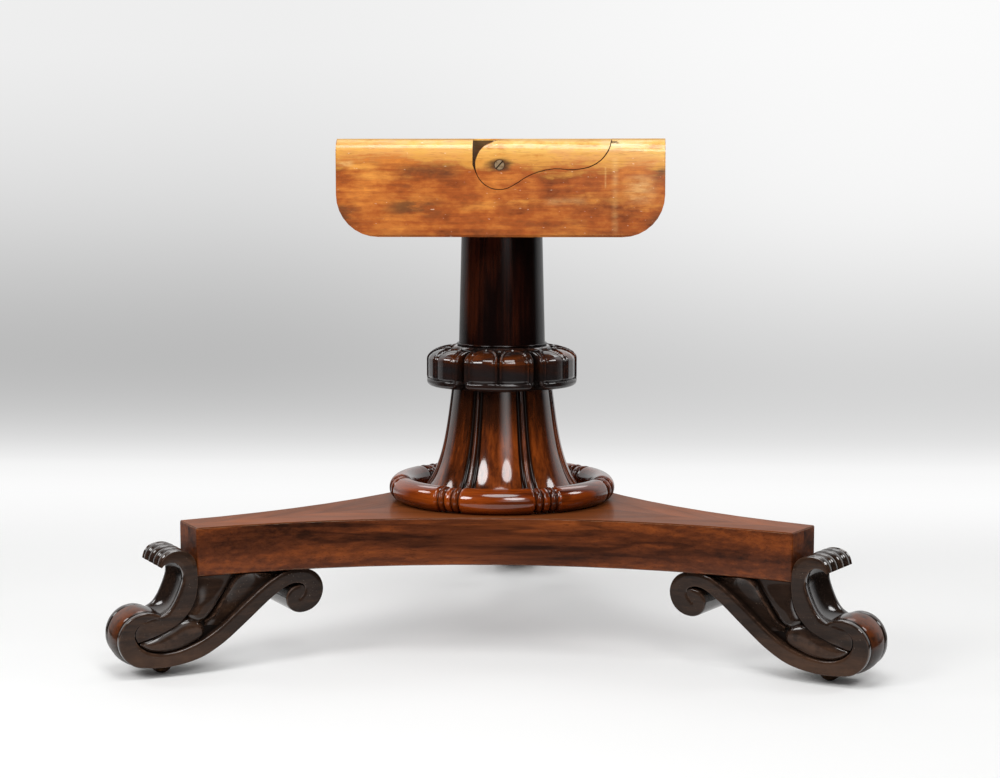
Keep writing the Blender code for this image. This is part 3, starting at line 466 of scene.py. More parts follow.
def toe_lobe(u, f):
    """The rounded lobe between two fillets round the toe."""
    full = ease(len(BAND) - 2.0, len(BAND) + 2.0, u)
    if abs(f) > LOBE_EDGE:
        groove = full * (1 - ease(LOBE_EDGE, LOBE_EDGE + 0.07, abs(f)))
        return -LOBE_GROOVE * groove, groove
    swell = (1 - (f / LOBE_EDGE) ** 2) ** 0.6
    return full * (LOBE_RISE * swell - LOBE_GROOVE), full * (1 - ease(0.0, 0.35, swell))


def leaf_reeds(u, f):
    """Reeds over the leaf's top, fading towards its root."""
    full = 1 - ease(5.5, 8.5, u)
    reed = abs(math.sin(math.pi * LEAF_REEDS / 2 * f))
    end = 0.45 * ease(0.86, 1.0, abs(f))
    low = 1 - max(reed, end) ** 0.8
    return -REED_DEPTH * full * low, full * ease(0.35, 1.0, low)


def stem_flute(u, f):
    """The hollow down the stem's front, with a spoon-shaped upper end."""
    full = ease(4.6, 7.4, u) * (1 - 0.45 * ease(12.5, 15.5, u))
    if abs(f) > FLUTE_EDGE:
        return 0.0, 0.0
    hollow = (1 - (f / FLUTE_EDGE) ** 2) ** 0.8
    return -FLUTE_DEPTH * full * hollow, 0.15 * full * hollow


def tongue_sunk(u):
    """The stem's end lies on the toe's band, and sinks inside it towards its tip."""
    raised = (STEM_INSET + TONGUE_PROUD) * ease(13.0, 14.0, u)
    return STEM_INSET - raised + TONGUE_SUNK * ease(15.8, 18.2, u)


def ground(s, u):
    # The field is wholly hollow, so it is painted near black, like the carvings' grooves: dirt and
    # painted shade.
    return FIELD_DEPTH, 1.0, 0.0


def core(s, u):
    """The middle of the inner scroll, a little below the band that curls round it."""
    return EYE_DEPTH, 0.6 * ease(0.85, 1.0, abs(2 * s - 1)), 0.0


def blade(s, u):
    """A hollow beside the band that rises to a sharp ridge. The ridge is marked as rubbed, which paints
    it pale as a painted highlight.
    """
    if s > 1:
        depth = RIDGE_BACK + (s - 1) * RIDGE_FALL
        return depth, ease(1.03, 1.1, s), RIDGE_PAINTED_HIGHLIGHT * (1 - ease(1.0, 1.05, s))
    depth = FIELD_DEPTH - (FIELD_DEPTH - RIDGE_DEPTH) * max(s, 0) ** 1.7
    depth += RIDGE_SINK * ease(0.8, 1.0, u)
    return depth, 1 - ease(0.0, 0.30, s), RIDGE_PAINTED_HIGHLIGHT * ease(0.90, 1.0, s)


def teardrop(s, u):
    swell = max(1 - (2 * s - 1) ** 2, 0) ** 0.7
    start, gain, loss = TEARDROP_RISE
    rise = start + gain * ease(0.05, 0.55, u) - loss * ease(0.75, 1.0, u)
    return FIELD_DEPTH - BED - rise * swell, 1 - ease(0.1, 0.6, swell), 0.0


def pod(s, u):
    swell = max(1 - (2 * s - 1) ** 2, 0) ** 0.5
    gain, loss = POD_RISE
    rise = gain * ease(-0.02, 0.10, u) - loss * ease(0.7, 1.0, u)
    rub = 0.5 * ease(0.8, 1.0, swell)
    return FIELD_DEPTH - BED - rise * swell, 1 - ease(0.1, 0.6, swell), rub


def toe_pairs():
    pairs = []
    for angle, inner in BAND_TOE:
        turn = math.radians(angle)
        outer = (
            TOE_CENTRE[0] + TOE_RADIUS * math.cos(turn),
            TOE_CENTRE[1] + TOE_RADIUS * math.sin(turn),
        )
        pairs.append((outer, inner))
    return pairs


def scroll_foot():
    """The carved foot, reaching along +X from the column's axis."""
    across = np.linspace(0, 1, 17)
    beyond = np.concatenate([np.linspace(-0.04, 1, 17), [1.02, 1.06, 1.14]])
    bars = [
        strip(BAND + toe_pairs(), 4, toe_lobe, plain, lambda u: 0.0, lambda u: 0.0),
        strip(LEAF_STEM, 5, leaf_reeds, stem_flute, tongue_sunk, lambda u: ease(12.6, 14.0, u)),
        carving(WEB, 4, across, ground),
        carving(EYE, 4, across, core),
        carving(BLADE, 5, beyond, blade),
        carving(TEARDROP, 5, across, teardrop),
        carving(POD, 5, across, pod),
    ]
    bits = [
        post(SOCKET_RADIUS, -SOCKET_TOP, SOCKET_TOP, (SOCKET_AT, 0)),
        post(SCREW_HOLE_RADIUS, 0, SCREW_HOLE_TOP, (SCREW_HOLE_AT, 0)),
    ]
    whole = bmesh.new()
    for bar in bars:
        whole.from_mesh(cut(to_mesh(bar, "bar"), [bit.copy() for bit in bits]))
    return to_mesh(whole, "scroll_foot")


def turned(profile, steps, closed=True):
    """A profile of (radius, height) points spun about the column's axis. Each vertex keeps its place
    in the profile."""
    bm = bmesh.new()
    spot = bm.verts.layers.int.new("spot")
    verts = []
    for i, (radius, z) in enumerate(profile):
        verts.append(bm.verts.new((radius, 0, z)))
        verts[i][spot] = i
    ends = verts[1:] + verts[:1] if closed else verts[1:]
    edges = [bm.edges.new(pair) for pair in zip(verts, ends)]
    bmesh.ops.spin(
        bm,
        geom=verts + edges,
        cent=(0, 0, 0),
        axis=(0, 0, 1),
        angle=math.tau,
        steps=steps,
        use_merge=True,
    )
    bmesh.ops.remove_doubles(bm, verts=bm.verts, dist=WELD)
    return bm


def worked(bm, change):
    """Carves a turned shape: from its radius, height, place in the profile and turn from the front,
    each vertex gets a new radius, height and turn, and its marks."""
    hollow, rub = mark_layers(bm)
    spot = bm.verts.layers.int["spot"]
    for vert in bm.verts:
        radius = math.hypot(vert.co.x, vert.co.y)
        turn = math.degrees(math.atan2(vert.co.x, -vert.co.y))
        radius, z, turn, vert[hollow], vert[rub] = change(radius, vert.co.z, vert[spot], turn)
        side = math.radians(turn)
        vert.co = (AXIS.x + radius * math.sin(side), AXIS.y - radius * math.cos(side), z)
    bmesh.ops.recalc_face_normals(bm, faces=bm.faces)


def sector(turn, width, fine):
    """Degrees from the nearest sector edge, with the steps gathered as fine says, and the turn that
    goes with them."""
    step = (turn - width / 2) % width
    centre = turn - step
    mirrored = step > width / 2
    away = width - step if mirrored else step
    away = float(np.interp(away, np.linspace(0, width / 2, len(fine)), fine))
    return away, centre + (width - away if mirrored else away)


def gathered(edge, near, end, beyond):
    """Degrees from a sector's edge, with more steps up to a turn than beyond it."""
    return np.concatenate([np.linspace(0, edge, near), np.linspace(edge, end, beyond)[1:]])


def arc(centre, radius, start, end, count):
    turns = [math.radians(start + (end - start) * i / count) for i in range(count + 1)]
    return [(centre[0] + radius * math.cos(a), centre[1] + radius * math.sin(a)) for a in turns]


def lappet_collar():
    low, high = COLLAR_LOW.z, COLLAR_HIGH.z
    outer = COLLAR_HIGH.x - AXIS.x
    shoulder_low, side_low = high - COLLAR_SHOULDER, low + COLLAR_CORNER
    spread = outer - COLLAR_CROWN
    face, facing = [], []
    for a in np.radians(np.linspace(90, 0, 46)):
        rise = COLLAR_SHOULDER * math.sin(a)
        face.append((COLLAR_CROWN + spread * math.cos(a), shoulder_low + rise))
        way = Vector((COLLAR_SHOULDER * math.cos(a), spread * math.sin(a))).normalized()
        facing.append(tuple(way))
    for z in np.linspace(shoulder_low, side_low, 23)[1:-1]:
        face.append((outer, z))
        facing.append((1.0, 0.0))
    for a in np.radians(np.linspace(0, -90, 13)):
        out, up = math.cos(a), math.sin(a)
        face.append((outer + COLLAR_CORNER * (out - 1), side_low + COLLAR_CORNER * up))
        facing.append((out, up))
    steps = np.hypot(*np.diff(np.array(face), axis=0).T)
    run = np.concatenate([[0], np.cumsum(steps)]) / steps.sum()
    bm = turned(face + [(COLLAR_BORE, low), (COLLAR_BORE, high)], COLLAR_UNITS * COLLAR_STEPS)
    unit = 360 / COLLAR_UNITS
    middle, half = (LAPPET_FROM + LAPPET_TO) / 2, (LAPPET_TO - LAPPET_FROM) / 2

    def change(radius, z, spot, turn):
        if spot >= len(face):
            return radius, z, turn, 0.0, 0.0
        p = run[spot]
        away = abs((turn + unit / 2) % unit - unit / 2)
        down = min(max(p - GAP_FLARE_FROM, 0) / (GAP_FLARE_TO - GAP_FLARE_FROM), 1)
        flared = GAP_FLARE * (1 - math.sqrt(1 - down * down))
        edge = unit / 2 - away - flared
        gap = 1 - ease(GAP_HALF - 0.5, GAP_HALF + 0.7, edge)
        arch = max(0.0, 1 - (p - ARCH_TOP) / ARCH_RUN)
        reach = math.hypot((away - middle) / half, arch)
        inside = 1 - ease(1.02, 1.08, reach)
        rim = math.exp(-(((reach - 0.955) / 0.055) ** 2))
        dip = math.exp(-(((reach - 0.83) / 0.07) ** 2))
        sunk = LAPPET_SUNK * (1 - rim) + LAPPET_DIP * dip
        sunk -= LAPPET_SWELL * (1 - min(reach, 1)) ** 2
        crease = (1 - ease(1.0, 8.0, away)) * (1 - ease(0.30, 0.62, p))
        beyond = GROUND_DEPTH + CREASE_DEPTH * crease
        depth = sunk * inside + beyond * (1 - inside)
        hollow = 0.45 * dip * inside + (1 - inside)
        rub = rim * inside
        side = ease(FRAME_INNER - 0.5, FRAME_INNER + 0.5, away) * ease(0.10, 0.30, p)
        bead = min(((edge - 3.9) / 2.2) ** 2, 1.5)
        depth += (SIDE_BEAD[0] + SIDE_BEAD[1] * bead - depth) * side
        foot = ease(LAPPET_END - 0.012, LAPPET_END + 0.010, p)
        swell = min(((p - 0.885) / 0.085) ** 2, 1.5)
        depth += (FOOT_BEAD[0] + FOOT_BEAD[1] * swell - depth) * foot
        line = math.exp(-(((p - LAPPET_END + 0.012) / 0.011) ** 2)) * (1 - side)
        depth += LINE_DEPTH * line
        inner = (1 - side) * (1 - foot)
        # Gaps, the lower line, the lappets' dips, the grounds and the frames are marked hollow and
        # painted dark: painted shade, with dirt.
        hollow = max(hollow * inner, 0.8 * line, gap, 0.45 * side, 0.45 * foot)
        beads = (1 - min(bead, 1)) * side, (1 - min(swell, 1)) * foot
        rub = max(rub * inner, 0.6 * max(beads))
        fade = ease(0.0, 0.10, p)
        share = (radius - COLLAR_CROWN) / spread
        out, up = facing[spot]
        radius -= depth * fade * out * (1 - gap) + GAP_DEPTH * gap * share
        return radius, z - depth * fade * up * (1 - gap), turn, hollow * fade, rub * (1 - gap)

    worked(bm, change)
    return smoothed(to_mesh(bm, "lappet_collar"), 60)


def flare():
    """The stem's side from its top down to its foot, as (radius, height) points."""
    top, edge = STEM_HIGH.z, PLATFORM_HIGH.z + STEM_EDGE
    tall, wide = top - edge, STEM_FOOT_RADIUS - STEM_TOP_RADIUS
    knots = np.array(
        [
            (STEM_TOP_RADIUS, top),
            (STEM_TOP_RADIUS + 0.20 * wide, edge + 0.50 * tall),
            (STEM_TOP_RADIUS + 0.33 * wide, edge + 0.22 * tall),
            (STEM_FOOT_RADIUS, edge),
        ]
    )
    points = []
    for t in np.linspace(0, 1, 61):
        share = np.array([(1 - t) ** 3, 3 * t * (1 - t) ** 2, 3 * t * t * (1 - t), t**3])
        points.append(tuple(share @ knots))
    return points


def fluted_stem():
    side = flare()
    bottom = PLATFORM_HIGH.z + FIT
    inside = [(SPIGOT_RADIUS, bottom), (SPIGOT_RADIUS, STEM_HIGH.z)]
    bm = turned(side + [(STEM_FOOT_RADIUS, bottom)] + inside, STEM_PANELS * STEM_STEPS)
    panel = 360 / STEM_PANELS
    fine = gathered(STEM_FINE, 25, panel / 2, 7)

    def change(radius, z, spot, turn):
        if spot > len(side):
            return radius, z, turn, 0.0, 0.0
        away, turn = sector(turn, panel, fine)
        if away >= GROOVE_EDGE:
            belly = 1 - ((away - GROOVE_EDGE) / (panel / 2 - GROOVE_EDGE) - 1) ** 2
            rub = 1 - ease(0.0, 0.35, away - GROOVE_EDGE)
            return radius - PANEL_DISH * (1 - belly), z, turn, 0.0, rub
        if away > REED_HALF:
            x = 2 * (away - REED_HALF) / (GROOVE_EDGE - REED_HALF) - 1
            wall = math.sqrt(max(1 - x * x, 0))
            depth = PANEL_DISH + GROOVE_DEPTH * wall
            # Groove walls are marked hollow and painted dark: painted shade, with dirt.
            return radius - depth, z, turn, ease(0.3, 0.75, wall), 0.0
        depth = REED_DROP[0] + REED_DROP[1] * (away / REED_HALF) ** 2
        return radius - depth, z, turn, 0.0, 0.0

    worked(bm, change)
    return smoothed(to_mesh(bm, "fluted_stem"), 34)


def bead_ring():
    low, high = RING_LOW.z, RING_HIGH.z
    tube = (high - low) / 2
    reach = RING_HIGH.x - AXIS.x - tube
    profile = arc((reach, low + tube), tube, 0, 360 - 360 / RING_SIDES, RING_SIDES - 1)
    bm = turned(profile, RING_TIES * RING_STEPS)
    unit = 360 / RING_TIES
    fine = gathered(RING_FINE, 34, unit / 2, 10)

    def change(radius, z, spot, turn):
        away, turn = sector(turn, unit, fine)
        size = float(np.interp(away, *zip(*RING_TIE)))
        # Each tie's rings are stained dark, and its two grooves are painted darker still: painted
        # shade.
        dark = 0.5 * ease(1.4, 1.9, away) * (1 - ease(5.9, 6.5, away))
        dark += 0.5 * max(math.exp(-(((away - groove) / 0.35) ** 2)) for groove in TIE_GROOVES)
        height = low + tube + (z - low - tube) * size
        return reach + (radius - reach) * size, height, turn, dark, 0.0

    worked(bm, change)
    return smoothed(to_mesh(bm, "bead_ring"), 50)


def plain_shaft():
    """The tapered shaft, with a slim bead at its foot, a spigot, and a tenon with a kerf."""
    low, top = COLLAR_HIGH.z + FIT, BLOCK_LOW.z - FIT
    half = SHAFT_BEAD / 2
    bead = arc((SHAFT_BEAD_RADIUS - half, low + half), half, -90, 90, 10)
    heights = np.linspace(low + SHAFT_BEAD, top, SHAFT_STEPS)
    radii = np.linspace(SHAFT_FOOT_RADIUS, SHAFT_TOP_RADIUS, SHAFT_STEPS)
    profile = [(0, SHAFT_LOW.z), (SPIGOT_RADIUS, SHAFT_LOW.z), (SPIGOT_RADIUS, low)] + bead
    profile += list(zip(radii, heights))
    profile += [(TENON_RADIUS, top), (TENON_RADIUS, SHAFT_HIGH.z), (0, SHAFT_HIGH.z)]
    bm = turned(profile, SHAFT_SIDES, closed=False)
    worked(bm, lambda radius, z, spot, turn: (radius, z, turn, 0.0, 0.0))
    slot = bmesh.new()
    bmesh.ops.create_cube(slot, size=2)
    bmesh.ops.scale(slot, vec=(2 * TENON_RADIUS, KERF_HALF, KERF_DEPTH), verts=slot.verts)
    bmesh.ops.translate(slot, vec=(AXIS.x, AXIS.y, SHAFT_HIGH.z), verts=slot.verts)
    return smoothed(cut(to_mesh(bm, "plain_shaft"), [to_mesh(slot, "kerf")]), 30)


def sharp_edges(bm):
    return [e for e in bm.edges if e.is_manifold and e.calc_face_angle(0) > SHARP_ANGLE]


def bevelled(bm, edges, offset, segments):
    return bmesh.ops.bevel(
        bm,
        geom=edges,
        offset=offset,
        segments=segments,
        profile=0.5,
        affect="EDGES",
        clamp_overlap=True,
        material=-1,
    )["faces"]


def softened(node, offset, corner=0.0):
    """A copy of a CAD node with its facets merged and its sharp edges eased, its upright corners by
    more. The eased edges are marked as rubbed."""
    bm = bmesh.new()
    bm.from_mesh(NODES[node].data)
    bmesh.ops.remove_doubles(bm, verts=bm.verts, dist=WELD)
    bmesh.ops.dissolve_limit(
        bm, angle_limit=FLAT_ANGLE, verts=bm.verts, edges=bm.edges, use_dissolve_boundaries=False
    )
    rub = bm.faces.layers.float.new("rub")
    if corner:
        steep = [e for e in sharp_edges(bm) if abs(e.verts[0].co.z - e.verts[1].co.z) > UPRIGHT_RISE]
        bevelled(bm, steep, corner, 4)
    for face in bevelled(bm, sharp_edges(bm), offset, 2):
        face[rub] = 1.0
    bmesh.ops.triangulate(bm, faces=[f for f in bm.faces if len(f.verts) > 4])
    return smoothed(to_mesh(bm, node), 50)


OPERATORS = {"add": "ADD", "sub": "SUBTRACT", "mul": "MULTIPLY", "truediv": "DIVIDE", "pow": "POWER"}


class Wire:
    """A socket on which Python's operators add Math nodes."""

    def __init__(self, finish, socket):
        self.finish = finish
        self.socket = socket

    def math(self, operation, first, second=0.0):
        return self.finish.add("ShaderNodeMath", {"operation": operation}, {0: first, 1: second})

    def __abs__(self):
        return self.math("ABSOLUTE", self)

    def sine(self):
        return self.math("SINE", self)

    def above(self, low, high):
        """0 below low, 1 above high, with a soft rise between."""
        settings = {"interpolation_type": "SMOOTHSTEP"}
        sockets = {0: self, 1: low, 2: high, 3: 0.0, 4: 1.0}
        return self.finish.add("ShaderNodeMapRange", settings, sockets)

    def below(self, low, high):
        return 1 - self.above(low, high)


def operator(operation, swapped):
    def apply(self, other):
        first, second = (other, self) if swapped else (self, other)
        return self.math(operation, first, second)

    return apply


for sign, operation in OPERATORS.items():
    setattr(Wire, f"__{sign}__", operator(operation, False))
    setattr(Wire, f"__r{sign}__", operator(operation, True))


class Finish:
    """A material, with one way to add a node."""

    def __init__(self, name):
        self.material = bpy.data.materials.new(name)
        self.material.use_nodes = True
        self.tree = self.material.node_tree
        self.shader = self.tree.nodes["Principled BSDF"]
        self.place = self.add("ShaderNodeTexCoord", output="Object")
        self.colour = None

    def add(self, kind, settings=None, inputs=None, output=0):
        node = self.tree.nodes.new(kind)
        for key, value in (settings or {}).items():
            if key == "blend":
                node.color_ramp.interpolation = value
            elif key == "stops":
                while len(node.color_ramp.elements) < len(value):
                    node.color_ramp.elements.new(0.5)
                for element, (position, colour) in zip(node.color_ramp.elements, value):
                    element.position = position
                    element.color = (*colour, 1)
            else:
                setattr(node, key, value)
        for key, value in (inputs or {}).items():
            if isinstance(value, Wire):
                self.tree.links.new(value.socket, node.inputs[key])
            else:
                node.inputs[key].default_value = value
        return Wire(self, node.outputs[output])

    def mark(self, name):
        """A value that the piece's own mesh holds."""
        return self.add("ShaderNodeAttribute", {"attribute_name": name}, output="Fac")

    def scaled(self, vector, scale, shift):
        sockets = {"Vector": vector, "Scale": scale, "Location": shift}
        return self.add("ShaderNodeMapping", None, sockets)

    def noise(self, vector, scale, shift=(0, 0, 0), detail=2.0, rough=0.5, bend=0.0):
        """Noise over a place that is stretched and shifted first."""
        sockets = {"Scale": 1.0, "Detail": detail, "Roughness": rough, "Distortion": bend}
        sockets["Vector"] = self.scaled(vector, scale, shift)
        return self.add("ShaderNodeTexNoise", None, sockets)

    def ramp(self, value, stops, blend="LINEAR"):
        return self.add("ShaderNodeValToRGB", {"blend": blend, "stops": stops}, {0: value})

    def mix(self, share, first, second):
        settings = {"data_type": "RGBA"}
        first = first if isinstance(first, Wire) else (*first, 1)
        second = second if isinstance(second, Wire) else (*second, 1)
        return self.add("ShaderNodeMix", settings, {0: share, 6: first, 7: second}, 2)

    def coat(self, share, tone):
        """Lays a share of a tone over the colour so far."""
        self.colour = self.mix(share, self.colour, tone)

    def axes(self, vector):
        return [self.add("ShaderNodeSeparateXYZ", None, {0: vector}, i) for i in range(3)]

    def normal(self):
        """The three parts of the surface's normal."""
        return self.axes(self.add("ShaderNodeNewGeometry", output="Normal"))

    def joined(self, x, y, z):
        return self.add("ShaderNodeCombineXYZ", None, {0: x, 1: y, 2: z})

    def bump(self, height, strength, distance):
        sockets = {"Strength": strength, "Distance": distance, "Height": height}
        return self.add("ShaderNodeBump", None, sockets)

    def feed(self, **sockets):
        for name, value in sockets.items():
            socket = self.shader.inputs[name.replace("_", " ")]
            if isinstance(value, Wire):
                self.tree.links.new(value.socket, socket)
            else:
                socket.default_value = value
        return self.material


# Colours of dirt, wear and age, and of painted shade and painted light
FIGURE_WAVES = 30.0
BLACK_DIRT_AND_SHADE = (0.0035, 0.0018, 0.0012)
DUST = (0.34, 0.27, 0.21)
LIT_AND_SCUFFED = (0.082, 0.040, 0.022)
SMUDGE_AND_SHADE_BROWN = (0.085, 0.032, 0.013)
GREASE = (0.040, 0.018, 0.008)
RECESS_SHADE_AND_DIRT = (0.045, 0.018, 0.008)
EDGE_DIRT = (0.13, 0.055, 0.022)
END_GRAIN = (0.26, 0.085, 0.024)
FIBRE_BROWN = (0.26, 0.080, 0.018)
ARM_EDGE = (0.050, 0.018, 0.007)
HONEY = (0.74, 0.330, 0.055)
GOLD = (0.78, 0.360, 0.066)
PALE_WEAR = (0.92, 0.66, 0.32)
PALE_SCRATCH = (0.93, 0.640, 0.260)
PALE_NICK = (0.95, 0.80, 0.60)
BARE_TOP = (0.40, 0.190, 0.066)
METAL_GRIME = (0.05, 0.025, 0.012)
SLOT_SHADE = (0.020, 0.010, 0.005)


def reach_from(spot, x, y):
    """How far a place lies from a spot on the floor plan."""
    dx, dy = x - spot.x, y - spot.y
    return (dx * dx + dy * dy) ** 0.5


def bearing(x, y):
    """A place's turn round the column, from the front."""
    return x.math("ARCTAN2", x - AXIS.x, AXIS.y - y)


def within_third(turn):
    """A turn taken from the nearest of three equal ways."""
    return turn - turn.math("ROUND", turn / THIRD) * THIRD


def grain_way(finish, lay):
    """The surface's place with the grain along the first axis."""
    x, y, z = finish.axes(finish.place)
    if lay == "upright":
        return finish.joined(z, x - AXIS.x, y - AXIS.y)
    reach, turn = reach_from(AXIS, x, y), bearing(x, y)
    if lay == "round":
        return finish.joined(turn * 0.15, reach, z)
    if lay == "outward":
        return finish.joined(reach, turn * 0.45, z)
    side = within_third(turn)
    facing = finish.normal()[2]
    out = reach * x.math("COSINE", side)
    return finish.joined(reach * side.sine(), out, z + out * facing.above(0.6, 0.9) * 0.5)


def rosewood(name, lay, tones, gloss, *, figure=(3, 18, 18), contrast=1.0, seed=0.0, wear=0.5,
             worn=None, dust=0.0, shade=None, toe=None, painted_top_light=None, tooled=0.8, blur=0.09):
    """French-polished rosewood in a dark, a middle and a light tone: wavy dark figure, fine streaks,
    pores, black dirt and painted shade in the hollows, worn edges and a clear, slightly uneven polish.
    Options add painted shade towards one end, painted light on upward faces, and painted light on a
    foot's toe lobe and lower sides."""
    dark, middle, light = tones
    finish = Finish(name)
    place = finish.scaled(grain_way(finish, lay), (1, 1, 1), (seed, seed, seed))
    field = finish.noise(place, figure, detail=3, bend=0.5)
    wave = (field * FIGURE_WAVES).sine() * 0.5 + 0.5
    streak = finish.noise(place, (7, 190, 190), detail=4, rough=0.6)
    cloud = finish.noise(place, tuple(1.25 * step for step in figure), (3, 1, 2), detail=3)
    pore = finish.noise(place, (60, 900, 900), detail=1).above(0.60, 0.72)
    body = (cloud - 0.5) * (1.7 * contrast) + (streak - 0.5) * 0.6 - wave * (0.16 * contrast) + 0.54
    finish.colour = finish.ramp(body, [(0.22, dark), (0.50, middle), (0.84, light)])
    finish.coat((wave ** 6.0).above(0.4, 1.0) * (0.6 * contrast), dark)
    finish.coat(pore * 0.45, dark)
    x, y, z = finish.axes(finish.place)
    # Shade darkens one end towards the dark tone: a painted shadow at the stem's top under the collar,
    # painted shade at the collar's bottom.
    if shade:
        low, high, depth = shade
        finish.coat(z.above(low, high) * depth, dark)
    # Upward faces get a lighter, warmer tone and less gloss: painted light and painted sheen from
    # above.
    if painted_top_light:
        facing = finish.normal()[2].above(0.6, 0.9)
        finish.coat(facing * (streak * 0.4 + cloud * 0.6), painted_top_light)
        gloss = gloss * (1 - facing * 0.55)
    chafe = finish.noise(place, (70, 90, 90), (8, 3, 1), detail=3, rough=0.6)
    rub = finish.mark("rub") * chafe.above(0.38, 0.60)
    hollow = finish.mark("hollow")
    if toe:
        out, turn = reach_from(AXIS, x, y), bearing(x, y)
        aside = abs(out * within_third(turn - math.pi / 3).sine())
        lobe = aside.below(0.0200, 0.0235) * out.above(0.515, 0.535)
        upper = z.above(TOE_CENTRE[1] - 0.012, TOE_CENTRE[1] + 0.026)
        # The lobe's upper part is painted a warm orange: a painted highlight from above, broken up by
        # noise.
        lit_lobe_top = lobe * upper * (chafe.above(0.28, 0.62) * 0.6 + streak * 0.4)
        finish.coat(lit_lobe_top, toe)
        nx, ny, _ = finish.normal()
        flat = abs(nx * turn.math("COSINE", turn) + ny * turn.sine()).above(0.80, 0.98)
        gloss = gloss * (1 - flat * 0.75) * (1 - lobe * 0.60)
        # The flat sides are painted lighter towards the floor: painted bounce light from the floor, and
        # scuffing.
        lit_and_scuffed = z.below(0.018, 0.060) * flat * (chafe * 0.7 + streak * 0.4)
        finish.coat(lit_and_scuffed, LIT_AND_SCUFFED)
    finish.coat(rub * wear, worn or light)
    # Hollow places are painted near black: dirt and painted shade in grooves, gaps and carved grounds.
    finish.coat(hollow * 0.92, BLACK_DIRT_AND_SHADE)
    if dust:
        speck = finish.noise(finish.place, (520, 520, 520), detail=2).above(0.68, 0.74)
        patch = finish.noise(finish.place, (30, 30, 30), (6, 6, 2), detail=2).above(0.42, 0.66)
        finish.coat(speck * patch * dust, DUST)
    haze = finish.noise(finish.place, (14, 14, 14), (5, 2, 7), detail=4, rough=0.65)
    ripple = finish.noise(place, (30, 60, 60), detail=2)
    height = ripple * tooled + streak * 0.08 - pore * 0.12
    return finish.feed(
        Base_Color=finish.colour,
        Roughness=haze * 0.25 + 0.32 + hollow * 0.25,
        Normal=finish.bump(height, 0.20, 0.0010),
        Coat_Weight=(1.0 - hollow * 0.8) * (1.0 - haze.above(0.5, 0.8) * 0.3) * gloss,
        Coat_Roughness=blur,
        Coat_IOR=1.65,
        Specular_IOR_Level=0.02,
    )


def patch_of(u, w, left, right, top, bottom, soft):
    """A soft-edged patch between two sides and two depths."""
    wide = u.above(left - soft, left + soft) * u.below(right - soft, right + soft)
    half = soft / 2
    return wide * w.above(top - half, top + half) * w.below(bottom - half, bottom + half)


